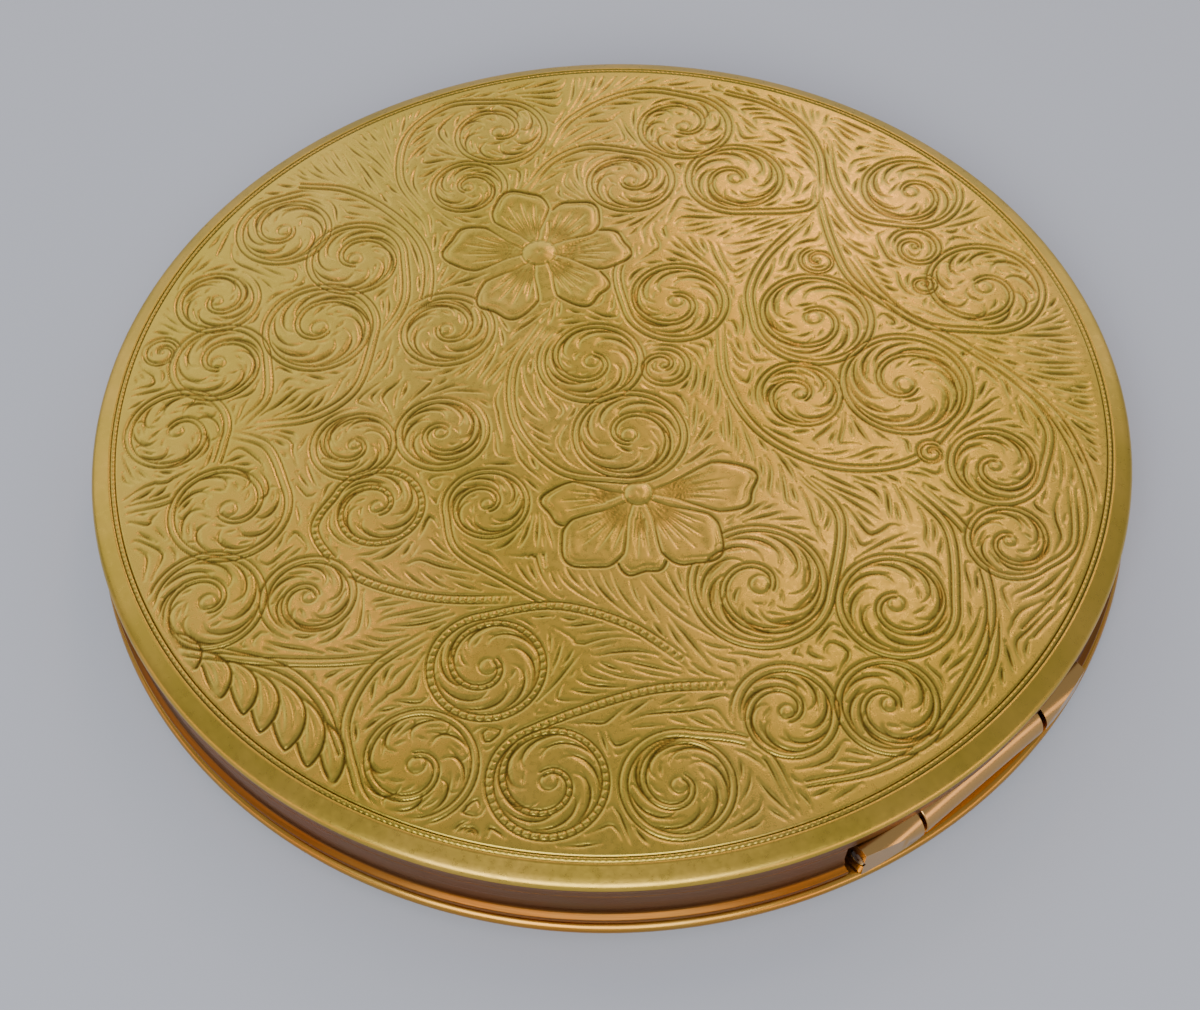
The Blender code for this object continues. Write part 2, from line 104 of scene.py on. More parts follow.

# The layout of the scrolls, stems, flowers and lobes was read from the photo, seen from
# above. What is drawn inside each of them is the same rule for all.
# Scrolls: centre x, centre y, radius, start angle, hand, turns, kind, ticks along the stem, and
# the points that its stem passes through. A stem meets its scroll along the tangent.
SCROLLS = [
    (-25.3, 17.6, 3.7, 100, 1, 1.5, "swirl", False, [(-22.6, 21.2), (-24.0, 21.8)]),
    (-19.4, 14.1, 3.8, -5, 1, 1.5, "swirl", False, [(-16.9, 5.6), (-15.3, 9.5)]),
    (-29.8, 10.2, 3.1, 60, -1, 1.5, "swirl", False, []),
    (-21.6, 7.0, 4.3, -40, 1, 1.7, "swirl", False, [(-25.4, -2.3), (-21.3, -1.6), (-18.4, 1.0)]),
    (-28.9, 3.9, 3.6, 20, 1, 1.5, "swirl", False, [(-26.3, -1.9), (-24.9, 0.6)]),
    (-31.2, -2.4, 3.7, -30, 1, 1.2, "leaf", False, [(-33.7, -9.3), (-30.6, -8.3), (-28.2, -6.2)]),
    (-26.6, -9.5, 4.2, 40, -1, 1.2, "leaf", False, [(-27.0, -3.0), (-24.4, -4.2)]),
    (-27.1, -17.0, 3.9, -130, -1, 1.7, "swirl", False,
        [(-14.0, -21.6), (-18.5, -21.9), (-23.0, -21.6)]),
    (-20.3, -16.9, 3.1, -110, -1, 1.4, "swirl", False, []),
    (-8.4, 28.3, 3.9, 80, -1, 1.3, "leaf", False,
        [(-14.3, 19.0), (-16.4, 23.2), (-16.0, 28.4), (-12.8, 31.9)]),
    (-10.8, 21.7, 3.0, -60, 1, 1.6, "swirl", False, []),
    (7.0, 28.2, 3.9, 30, -1, 1.3, "leaf", False,
        [(-4.0, 26.4), (-2.4, 29.6), (1.0, 32.2), (4.4, 33.0)]),
    (2.3, 21.8, 3.5, 40, -1, 1.4, "swirl", False, [(-6.0, 21.2), (-4.0, 24.4), (-1.0, 26.0)]),
    (10.9, 21.7, 3.9, -75, -1, 1.5, "swirl", False, [(17.6, 20.6), (16.3, 18.0)]),
    (24.8, 19.6, 4.0, -110, 1, 1.5, "swirl", False, [(18.7, 26.0), (18.9, 20.6), (20.4, 16.9)]),
    (-12.0, 6.3, 3.5, 150, -1, 1.7, "swirl", False, []),
    (5.4, 8.4, 3.9, -110, 1, 1.5, "swirl", False, [(2.2, 14.6), (1.0, 11.5)]),
    (24.3, 13.4, 1.9, 180, -1, 1.3, "line", False, []),
    (15.6, 6.3, 4.5, 175, 1, 1.6, "swirl", False, [(16.4, 17.0), (12.8, 13.0), (11.1, 9.4)]),
    (28.9, 9.0, 4.5, -95, 1, 1.4, "leaf", False, [(19.2, 12.4), (20.9, 8.6), (23.6, 5.4)]),
    (13.9, -1.1, 3.0, -150, -1, 1.5, "swirl", False, []),
    (21.6, -0.4, 4.7, -10, 1, 1.8, "swirl", False,
        [(8.5, 6.0), (8.6, 0.5), (10.9, -4.6), (15.6, -7.6), (21.0, -7.4)]),
    (-1.1, 2.7, 3.8, 130, 1, 1.6, "swirl", False, []),
    (4.2, 2.0, 1.8, 120, -1, 1.3, "line", False, []),
    (1.4, -4.3, 4.0, -80, 1, 1.8, "swirl", False,
        [(-4.9, 6.4), (-6.9, 2.2), (-6.6, -3.0), (-3.6, -7.2)]),
    (-18.2, -4.3, 3.0, 90, 1, 1.7, "swirl", False, []),
    (-12.0, -3.5, 3.2, 60, -1, 1.8, "swirl", False, []),
    (-16.2, -9.8, 3.2, 110, -1, 1.4, "swirl", True,
        [(-6.5, -17.7), (-12.5, -17.2), (-17.6, -15.2), (-20.4, -11.6)]),
    (-8.6, -9.9, 2.9, 190, -1, 1.5, "swirl", False, [(-3.6, -18.6), (-7.4, -16.0), (-10.6, -13.6)]),
    (9.7, -17.1, 4.7, -55, -1, 1.8, "swirl", False, [(13.4, -8.6), (15.6, -12.0)]),
    (26.9, -7.9, 3.2, -50, -1, 1.5, "swirl", False, [(29.9, -1.6), (31.2, -5.0)]),
    (26.8, -14.2, 2.9, -90, -1, 1.4, "swirl", False, [(31.9, -10.0), (31.0, -14.6)]),
    (18.5, -18.9, 3.9, -60, -1, 1.5, "swirl", False, [(20.3, -9.4), (22.8, -13.2)]),
    (-8.3, -22.6, 3.8, 100, 1, 1.6, "swirl", True, [(4.6, -22.8), (0.8, -19.8), (-4.0, -18.2)]),
    (-12.6, -29.3, 3.8, 185, 1, 1.5, "leaf", False, [(-12.4, -20.2), (-15.6, -22.4), (-17.2, -26.2)]),
    (-4.4, -30.7, 3.7, 170, 1, 1.8, "swirl", True, [(7.4, -24.5), (2.4, -24.6), (-2.6, -26.0)]),
    (3.6, -31.2, 3.5, 110, 1, 1.7, "swirl", False, [(10.4, -32.6), (8.6, -28.8)]),
    (10.6, -26.5, 3.2, 190, -1, 1.5, "swirl", False, []),
    (17.1, -26.2, 3.3, -70, -1, 1.7, "swirl", False, [(21.4, -9.7), (24.2, -14.0), (24.4, -20.6)]),
    (-33.4, 5.2, 1.3, 0, 1, 1.3, "line", False, []),
    (24.4, 9.4, 0.9, 90, -1, 1.2, "line", False, []),
    (16.5, 12.2, 1.3, 90, 1, 1.3, "line", False, []),
    (22.6, -6.6, 0.9, 30, 1, 1.2, "line", False, []),
    (-9.3, -34.0, 0.7, 90, 1, 1.1, "line", False, []),
]

# Stems that carry several scrolls: width at each end, and their points.
STEMS = [
    (0.5, 0.9, [(17.3, 19.5), (17.9, 14.0), (19.0, 10.0), (21.9, 6.9), (26.2, 3.4), (29.7, -0.2),
                (32.0, -4.0), (33.0, -8.5), (32.7, -13.0), (30.4, -17.5), (26.7, -21.3)]),
    (0.6, 0.4, [(17.9, 20.0), (18.0, 24.5), (16.8, 28.0), (14.3, 30.7), (10.8, 32.4)]),
    (0.8, 0.5, [(-15.2, 4.0), (-13.6, 10.0), (-14.1, 15.0), (-16.8, 19.0), (-20.6, 21.9),
        (-24.6, 22.7)]),
    (0.9, 0.4, [(-29.4, -20.0), (-25.5, -21.0), (-21.5, -22.3), (-18.9, -24.8), (-17.3, -28.4)]),
    (0.7, 0.4, [(24.8, -19.5), (23.9, -23.5), (20.8, -27.6), (16.2, -30.4), (11.4, -31.4)]),
]

# Flowers: centre, radius of the middle, and each petal's direction, length and width.
FLOWERS = [
    (-5.0, 14.0, 1.35, [(172, 7.4, 5.6), (108, 7.2, 5.4), (52, 6.6, 5.0), (2, 7.0, 5.0),
        (-48, 6.8, 4.8), (-118, 7.2, 5.6)]),
    (1.9, -9.4, 1.0, [(4, 8.2, 4.8), (-48, 7.3, 5.4), (-130, 7.2, 5.4), (-172, 6.6, 4.2),
        (-90, 6.6, 4.2)]),
]

# Leaf lobes under the stem at the lower left: foot, tip, width and bend.
LOBES = [
    ((-29.6, -19.2), (-27.3, -22.0), 1.3, 0.15), ((-27.9, -20.6), (-25.4, -24.2), 1.6, 0.18),
    ((-26.0, -21.3), (-23.8, -25.4), 1.7, 0.18), ((-24.2, -21.9), (-22.6, -26.7), 1.8, 0.16),
    ((-22.6, -22.6), (-20.9, -28.0), 2.1, 0.14), ((-20.9, -23.8), (-19.4, -29.2), 1.8, 0.12),
    ((-19.4, -25.4), (-17.7, -30.4), 1.5, 0.1),
]


def resample(points, step=STEP):
    """Points at an even distance along a polyline."""
    points = np.asarray(points, float)
    along = np.concatenate([[0], np.cumsum(np.hypot(*np.diff(points, axis=0).T))])
    where = np.linspace(0, along[-1], max(int(along[-1] / step), 2) + 1)
    return np.column_stack([np.interp(where, along, points[:, k]) for k in (0, 1)])


def smooth_curve(points, per_span=14):
    """A Catmull-Rom curve through given points."""
    p = np.asarray(points, float)
    p = np.vstack([2 * p[0] - p[1], p, 2 * p[-1] - p[-2]])
    t = np.linspace(0, 1, per_span, endpoint=False)[:, None]
    spans = [
        0.5 * (2 * b + (c - a) * t + (2 * a - 5 * b + 4 * c - d) * t**2 + (3 * b - a - 3 * c + d) * t**3)
        for a, b, c, d in zip(p, p[1:], p[2:], p[3:])
    ]
    return np.vstack(spans + [p[-2][None]])


def normals(line):
    tangent = np.gradient(line, axis=0)
    tangent /= np.maximum(np.hypot(*tangent.T), 1e-9)[:, None]
    return np.column_stack([-tangent[:, 1], tangent[:, 0]])


def polar(x, y, radius, angle):
    return np.column_stack([x + radius * np.cos(angle), y + radius * np.sin(angle)])


class Engraving:
    """Cuts and raised ridges, each a row of (x, y, half-width, height)."""

    def __init__(self):
        self.cuts, self.ridges, self.guides, self.covered = [], [], [], []

    def cut(self, points, width, depth, start=0.2, end=0.2, power=0.6):
        line = resample(points)
        t = np.linspace(0, 1, len(line))
        swell = np.maximum(np.sin(np.pi * t) ** power, start * (1 - t) ** 2 + end * t**2)
        self.cuts.append(np.column_stack([line, width * (0.45 + 0.55 * swell), depth * swell]))

    def ridge(self, points, width, height, start=0.5, end=0.5):
        line = resample(points, 0.12)
        t = np.linspace(0, 1, len(line))
        swell = np.maximum(np.sqrt(np.sin(np.pi * t)), start * (1 - t) ** 2 + end * t**2)
        self.ridges.append(np.column_stack([line, np.full(len(line), width), height * swell]))

    def keep(self, line, owner):
        """False where a stem would run over another scroll or a flower."""
        clear = np.ones(len(line), bool)
        for k, (x, y, r, *_) in enumerate(SCROLLS):
            if k != owner:
                clear &= np.hypot(line[:, 0] - x, line[:, 1] - y) > r + 0.1
        return clear & ~self.in_flower(line)

    def in_flower(self, line):
        inside = np.zeros(len(line), bool)
        for area in self.covered:
            for i in range(0, len(line), 2000):
                part = line[i:i + 2000]
                gap = np.hypot(part[:, None, 0] - area[None, :, 0], part[:, None, 1] - area[None, :, 1])
                inside[i:i + 2000] |= gap.min(1) < 0.3
        return inside

    def band(self, line, w0, w1, owner, depth=0.125, height=0.035, ticks=False, free=0):
        """A raised band with a groove along each side. Its first `free` points yield to others."""
        line = resample(line)
        n = normals(line)
        width = np.linspace(w0, w1, len(line))[:, None]
        fade = np.minimum(1, np.linspace(0, 1, len(line)) * 12 + 0.25)
        clear = ~self.in_flower(line)
        lead = np.linspace(0, 1, len(line)) < free
        clear[lead] &= self.keep(line[lead], owner)
        self.guides.append(np.column_stack([line, n[:, 1], -n[:, 0]])[clear])
        for side in (-1, 1):
            edge = line + n * width * 0.5 * side
            self.cuts.append(np.column_stack([edge, np.full(len(edge), 0.088), depth * fade])[clear])
        self.ridges.append(np.column_stack([line, width[:, 0] * 0.42, height * fade])[clear][::2])
        if ticks:
            step = int(0.6 / STEP)
            for i in range(step, len(line) - step, step):
                if clear[i]:
                    self.cut([line[i] - n[i] * 0.17, line[i] + n[i] * 0.17], 0.11, 0.11, 0.8, 0.8)

    def knob(self, x, y, r, height=0.06):
        self.cut(polar(x, y, r, np.linspace(0, 2 * np.pi, 40)), 0.09, 0.10, 1, 1)
        spots = polar(x, y, r * 0.3, np.linspace(0, 2 * np.pi, 8))
        self.ridges.append(np.column_stack([spots, np.full(8, r * 0.55), np.full(8, height)]))

    def scroll(self, index):
        """A stem that runs round a circle and winds into a small volute, with curled leaves
        between the circle and the volute."""
        x, y, r, start, hand, turns, kind, ticks, stem = SCROLLS[index]
        angle0 = math.radians(start)
        if stem:
            gap = np.array(stem[-1]) - (x, y)
            reach = max(np.hypot(*gap), r * 1.0001)
            angle0 = math.atan2(gap[1], gap[0]) + hand * math.acos(r / reach)
        turns = turns + 0.25

        def radius_at(s):
            u = np.clip(s / turns, 0, 1)
            v = np.clip((u - 0.40) / 0.6, 0, 1)
            return r * (1 - 0.14 * u) * (1 - 0.80 * v * v * (3 - 2 * v))

        def at(radius, s):
            return polar(x, y, radius, angle0 + hand * 2 * np.pi * s)

        s = np.linspace(0, turns, int(70 * turns))
        path = at(radius_at(s), s)
        free = 0
        if stem:
            lead = smooth_curve(list(stem) + [path[0], path[3]])[:-14]
            whole = np.vstack([lead, path])
            along = np.concatenate([[0], np.cumsum(np.hypot(*np.diff(whole, axis=0).T))])
            free = along[len(lead)] / along[-1]
            path = whole
        w0 = (0.62 if r > 3 else 0.5) if r > 1.5 else 0.32
        self.band(path, w0, w0 * 0.55, index, ticks=ticks, free=free)
        self.knob(x, y, r * 0.15)
        if kind == "line":
            return
        count = max(int(r * 2.2), 6)
        sweep = 0.24 if kind == "swirl" else 0.12
        outer, inner = r * 0.88, r * 0.40
        for i in range(count):
            s0 = i / count
            q = np.linspace(0, 1, 22)
            bow = sweep * q + 0.05 * np.sin(np.pi * q)
            radius = outer + (inner - outer) * q**1.2
            hook = at(radius, s0 + bow)
            self.cut(hook, 0.105, 0.14, 0.4, 0.1)
            lip = at(outer - (outer - inner) * 0.62 * q,
                    s0 + sweep * 0.55 * q - 0.055 * np.sin(np.pi * q * 0.9))
            self.cut(lip, 0.085, 0.10, 0.3, 0.2)
            vein = at(outer - (outer - inner) * (0.12 + 0.55 * q), s0 + 0.45 / count + sweep * 0.6 * q)
            self.cut(vein, 0.065, 0.07, 0.1, 0.0)

    def lobe(self, base, tip, width, bend):
        """A leaf lobe: two sides that meet in a rounded tip, bent sideways, with two veins."""
        first_cut, first_ridge = len(self.cuts), len(self.ridges)
        b, e = np.asarray(base, float), np.asarray(tip, float)
        u = (e - b) / np.hypot(*(e - b))
        t = np.linspace(0, 1, 30)
        mid = b + np.outer(t, e - b)
        mid += np.outer(np.sin(np.pi * t) * bend * np.hypot(*(e - b)), [-u[1], u[0]])
        n = normals(mid)
        w = width * 0.5 * np.sin(np.pi * t**1.4) ** 0.75
        self.cut(np.vstack([mid + n * w[:, None], (mid - n * w[:, None])[::-1]]), 0.12, 0.15, 0.4,
                0.4, 0.3)
        self.ridge(mid[4:-2], width * 0.3, 0.08, 0.3, 0.6)
        for share in (-1 / 3, 1 / 3):
            self.cut(mid[3:-6] + n[3:-6] * (w[3:-6] * share)[:, None], 0.07, 0.08, 0.3, 0.0)
        self.hide_covered(first_cut, first_ridge)
        self.covered.append(np.vstack([mid + n * (w * k)[:, None] for k in np.linspace(-0.65, 0.65,
                5)]))

    def hide_covered(self, first_cut, first_ridge):
        """Takes away what the last strokes draw inside earlier petals and lobes."""
        for stroke in self.cuts[first_cut:] + self.ridges[first_ridge:]:
            stroke[self.in_flower(stroke[:, :2]), 3] = 0

    def petal(self, x, y, way, inner, length, width, wave):
        """A broad rounded petal with a wavy end and veins from its foot, under the petals before it."""
        first_cut, first_ridge = len(self.cuts), len(self.ridges)
        middle, half = math.radians(way), math.atan(width / 1.5 / length)
        q = np.linspace(0, 1, 22)
        t = np.linspace(-1, 1, 60)
        side_r = inner * 0.95 + (0.70 * length - inner) * q
        side_a = half * (0.45 + 0.55 * np.sin(q * np.pi / 2))
        rim_r = length * (0.70 + 0.30 * (1 - np.abs(t) ** 2.6)) * (1 + 0.035 * np.sin(6 * t + wave) * (1 - t**4))
        radius = np.concatenate([side_r, rim_r, side_r[::-1]])
        angle = middle + np.concatenate([-side_a, half * t, side_a[::-1]])
        edge = polar(x, y, radius, angle)
        self.cut(edge, 0.115, 0.14, 0.7, 0.7, 0.3)
        self.cut(polar(x, y, rim_r[8:-8] - 0.42, middle + half * t[8:-8] * 0.9), 0.07, 0.06, 0.1, 0.1)
        self.ridge(polar(x, y, rim_r[6:-6] - 0.85, middle + half * t[6:-6] * 0.85), 0.5, 0.06)
        for i in range(13):
            share = (i - 6) / 6.9
            stop = inner + (length - inner) * (0.48 + 0.34 * ((i * 7) % 3) / 2) * (1 - 0.25 * abs(share))
            out = np.linspace(inner, stop, 12)
            self.cut(polar(x, y, out, middle + half * share * (0.75 + 0.2 * out / length)), 0.07,
                    0.10, 0.7, 0.0, 0.5)
        self.hide_covered(first_cut, first_ridge)
        self.covered.append(np.vstack([polar(x, y, radius * k, angle) for k in np.linspace(0.15,
                0.97, 16)]))


def stamp(points, largest):
    """The largest stroke height at each cell of the map."""
    grid = np.zeros((CELLS, CELLS))
    p = np.vstack(points)
    p[:, 3] *= np.clip((ENGRAVED_R - np.hypot(p[:, 0], p[:, 1])) / 0.35, 0, 1)
    p = p[p[:, 3] > 0.004]
    reach = int(largest / CELL * 2.2) + 1
    cx, cy = (p[:, 0] + HALF) / CELL, (p[:, 1] + HALF) / CELL
    ix, iy = np.rint(cx).astype(int), np.rint(cy).astype(int)
    w2 = (p[:, 2] / CELL) ** 2
    for dy in range(-reach, reach + 1):
        for dx in range(-reach, reach + 1):
            d2 = (ix + dx - cx) ** 2 + (iy + dy - cy) ** 2
            near = d2 < w2 * 4.6
            value = p[near, 3] * np.exp(-d2[near] / w2[near])
            np.maximum.at(grid, (np.clip(iy[near] + dy, 0, CELLS - 1),
                    np.clip(ix[near] + dx, 0, CELLS - 1)), value)
    return grid


def blur(grid, sigma):
    f, g = np.fft.rfftfreq(CELLS), np.fft.fftfreq(CELLS)
    kernel = np.exp(-2 * (np.pi * sigma / CELL) ** 2 * (g[:, None] ** 2 + f[None] ** 2))
    return np.fft.irfft2(np.fft.rfft2(grid) * kernel, s=grid.shape)


class Fill:
    """Feathered cuts laid between the stems, leaning away from the nearest one."""

    WAY = 0.3
    MASK = 0.12

    def __init__(self, engraving):
        self.engraving = engraving
        count = int(2 * HALF / self.MASK) + 1
        self.mask = np.zeros((count, count), bool)
        samples = np.vstack([g[::6] for g in engraving.guides]).astype(np.float32)
        places, ways = samples[:, :2], samples[:, 2:4]
        axis = np.arange(-HALF, HALF + self.WAY, self.WAY)
        gx, gy = np.meshgrid(axis, axis)
        cells = np.column_stack([gx.ravel(), gy.ravel()]).astype(np.float32)
        near = np.concatenate([
            np.argmin((places**2).sum(1) - 2 * cells[i:i + 4000] @ places.T, axis=1)
            for i in range(0, len(cells), 4000)
        ])
        away, way = cells - places[near], ways[near]
        side = np.sign(way[:, 0] * away[:, 1] - way[:, 1] * away[:, 0])
        lean = np.radians(np.clip(6 + 17 * np.hypot(*away.T), 6, 52)) * side
        c, s = np.cos(lean), np.sin(lean)
        self.vx = self.soften((way[:, 0] * c - way[:, 1] * s).reshape(gx.shape))
        self.vy = self.soften((way[:, 0] * s + way[:, 1] * c).reshape(gx.shape))

    def soften(self, grid):
        for _ in range(2):
            for axis in (0, 1):
                grid = (np.roll(grid, 1, axis) + grid + np.roll(grid, -1, axis)) / 3
        return grid

    def block(self, points, radius):
        k = int(radius / self.MASK + 0.5)
        c = np.rint((np.asarray(points)[:, :2] + HALF) / self.MASK).astype(int)
        last = len(self.mask) - 1
        for dy in range(-k, k + 1):
            for dx in range(-k, k + 1):
                if dx * dx + dy * dy <= k * k + 0.5:
                    self.mask[np.clip(c[:, 1] + dy, 0, last), np.clip(c[:, 0] + dx, 0, last)] = True

    def taken(self, x, y):
        if x * x + y * y > (ENGRAVED_R - 0.2) ** 2:
            return True
        return self.mask[int((y + HALF) / self.MASK + 0.5), int((x + HALF) / self.MASK + 0.5)]

    def way(self, x, y):
        i, j = int((y + HALF) / self.WAY + 0.5), int((x + HALF) / self.WAY + 0.5)
        vx, vy = self.vx[i, j], self.vy[i, j]
        n = math.hypot(vx, vy)
        return (vx / n, vy / n) if n > 0.2 else None

    def trace(self, x, y, longest):
        halves = []
        for sign in (-1, 1):
            px, py, line = x, y, []
            while len(line) * 0.15 < longest / 2:
                v = self.way(px, py)
                if v is None:
                    break
                px, py = px + v[0] * 0.15 * sign, py + v[1] * 0.15 * sign
                if self.taken(px, py):
                    break
                line.append((px, py))
            halves.append(line)
        return halves[0][::-1] + [(x, y)] + halves[1]

    def run(self, spacing, longest, shortest, width, depth, seed):
        draw = np.random.default_rng(seed)
        axis = np.arange(-ENGRAVED_R, ENGRAVED_R, 0.45)
        seeds = [(x + draw.uniform(-0.15, 0.15),
                y + draw.uniform(-0.15, 0.15)) for y in axis for x in axis]
        draw.shuffle(seeds)
        for x, y in seeds:
            if self.taken(x, y):
                continue
            line = self.trace(x, y, longest * draw.uniform(0.6, 1.2))
            if len(line) * 0.15 < shortest:
                continue
            k = draw.uniform(0.85, 1.15)
            self.engraving.cut(line, width * k, depth * k, 0.55, 0.0, 0.8)
            self.block(line, spacing)


def engraving_maps():
    """Height in millimetres and painted groove shade from 0 to 1 over a square that holds the lid's field."""
    work = Engraving()
    for x, y, middle, petals in FLOWERS:
        for k, (way, length, width) in enumerate(petals):
            work.petal(x, y, way, middle, length, width, k)
        work.knob(x, y, middle, 0.14)
        work.covered.append(np.array([[x, y]]))
    for index in range(len(SCROLLS)):
        work.scroll(index)
    for w0, w1, points in STEMS:
        work.band(smooth_curve(points), w0, w1, None, free=1.01)
    for lobe in LOBES:
        work.lobe(*lobe)
    fill = Fill(work)
    for line in work.cuts:
        fill.block(line, 0.24)
    for area in work.covered:
        fill.block(area, 0.3)
    for x, y, r, *_ in SCROLLS:
        fill.block([(x, y)], r * 0.3)
    fill.run(0.40, 7.0, 1.4, 0.095, 0.125, 3)
    fill.run(0.25, 3.6, 0.8, 0.072, 0.085, 4)
    grooves = stamp(work.cuts, WIDEST_CUT)
    ridges = stamp(work.ridges, WIDEST_RIDGE)
    height = RIDGE_SHARE * ridges - CUT_SHARE * grooves - SINK_SHARE * blur(grooves, SINK_BLUR)
    # Painted shade in the cuts: the deeper the cut, the darker its colour.
    dark = np.clip(grooves / SHADE_FULL_DEPTH, 0, 1) ** SHADE_POWER
    return height, dark


# ---- mesh helpers ---------------------------------------------------------------------------
def make_object(name, mesh, material, body=None, stands_for=()):
    made = bpy.data.objects.new(name, mesh)
    bpy.context.scene.collection.objects.link(made)
    if material:
        mesh.materials.append(material)
    if stands_for:
        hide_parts(*stands_for)
    if body:
        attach(made, body)
    return made


def mesh_from(name, points, quads, sharp=35):
    """A smooth-shaded mesh from points in millimetres and faces of three or four corners."""
    mesh = bpy.data.meshes.new(name)
    points = np.asarray(points, np.float32) * MM
    mesh.vertices.add(len(points))
    mesh.vertices.foreach_set("co", points.ravel())
    sizes = np.array([len(q) for q in quads]) if isinstance(quads, list) else np.full(len(quads), 4)
    corners = np.concatenate([np.asarray(q) for q in quads]) if isinstance(quads,
            list) else quads.ravel()
    mesh.loops.add(int(sizes.sum()))
    mesh.loops.foreach_set("vertex_index", corners.astype(np.int32))
    mesh.polygons.add(len(sizes))
    starts = np.concatenate([[0], np.cumsum(sizes)[:-1]])
    mesh.polygons.foreach_set("loop_start", starts.astype(np.int32))
    mesh.update(calc_edges=True)
    mesh.validate()
    mesh.shade_smooth()
    if sharp:
        mesh.set_sharp_from_angle(angle=math.radians(sharp))
    return mesh


def arc(a, b, radius, start, end, steps):
    angles = np.radians(np.linspace(start, end, steps + 1))
    return [(a + radius * math.cos(t), b + radius * math.sin(t)) for t in angles]


def turned_mesh(name, profile, segments=384, sharp=35):
    """A solid turned about Z from (radius, height) points, listed with the material on their left."""
    angles = np.linspace(0, 2 * np.pi, segments, endpoint=False)
    c, s = np.cos(angles), np.sin(angles)
    closed = profile[0][0] > 0
    points, rings = [], []
    for r, z in profile:
        if r == 0:
            rings.append([sum(map(len, points))] * segments)
            points.append(np.array([[0, 0, z]]))
        else:
            first = sum(map(len, points))
            rings.append(list(range(first, first + segments)))
            points.append(np.column_stack([r * c, r * s, np.full(segments, z)]))
    faces = []
    pairs = list(zip(rings, rings[1:])) + ([(rings[-1], rings[0])] if closed else [])
    for a, b in pairs:
        for i in range(segments):
            j = (i + 1) % segments
            face = [a[i], a[j], b[j], b[i]]
            faces.append([v for k, v in enumerate(face) if v not in face[:k]])
    mesh = mesh_from(name, np.vstack(points), faces, None)
    return fix_normals(mesh, sharp)


def fix_normals(mesh, sharp=35):
    shape = bmesh.new()
    shape.from_mesh(mesh)
    bmesh.ops.recalc_face_normals(shape, faces=shape.faces)
    shape.to_mesh(mesh)
    shape.free()
    mesh.shade_smooth()
    if sharp:
        mesh.set_sharp_from_angle(angle=math.radians(sharp))
    return mesh


def swept_mesh(name, profile, spans, segments=360, sharp=35):
    """Closed bars swept round Z. Each span is (first, last), two functions of the radius that
    give the angle from +Y at its two ends."""
    points, faces = [], []
    for first, last in spans:
        start = len(points)
        count = len(profile)
        for i in range(segments + 1):
            t = i / segments
            for r, z in profile:
                a = first(r) + (last(r) - first(r)) * t
                points.append((r * math.sin(a), r * math.cos(a), z))
        for i in range(segments):
            for k in range(count):
                m = (k + 1) % count
                a, b = start + i * count, start + (i + 1) * count
                faces.append([a + k, a + m, b + m, b + k])
        faces.append([start + k for k in range(count)])
        faces.append([start + segments * count + k for k in reversed(range(count))])
    return fix_normals(mesh_from(name, points, faces, None), sharp)


def extruded_mesh(name, outline, along, low, high):
    place = {
        "X": lambda a, b, c: (c, a, b),
        "Y": lambda a, b, c: (a, c, b),
        "Z": lambda a, b, c: (a, b, c),
    }[along]
    count = len(outline)
    points = [place(a, b, low) for a, b in outline] + [place(a, b, high) for a, b in outline]
    faces = [[k, (k + 1) % count, (k + 1) % count + count, k + count] for k in range(count)]
    faces += [list(range(count))[::-1], [k + count for k in range(count)]]
    return fix_normals(mesh_from(name, points, faces, None))


def bevel(made, width, segments=3):
    change = made.modifiers.new("edges", "BEVEL")
    change.width = width * MM
    change.segments = segments
    change.limit_method = "ANGLE"
    change.angle_limit = math.radians(40)
    change.harden_normals = True


def cut_with(made, mesh, operation="DIFFERENCE"):
    """Takes a closed mesh out of a piece, or keeps only what is inside it, and leaves no modifier."""
    cutter = bpy.data.objects.new("cutter", mesh)
    bpy.context.scene.collection.objects.link(cutter)
    change = made.modifiers.new("cut", "BOOLEAN")
    change.object = cutter
    change.operation = operation
    change.solver = "EXACT"
    bpy.context.view_layer.update()
    graph = bpy.context.evaluated_depsgraph_get()
    result = bpy.data.meshes.new_from_object(made.evaluated_get(graph))
    made.modifiers.clear()
    made.data = result
    bpy.data.objects.remove(cutter)


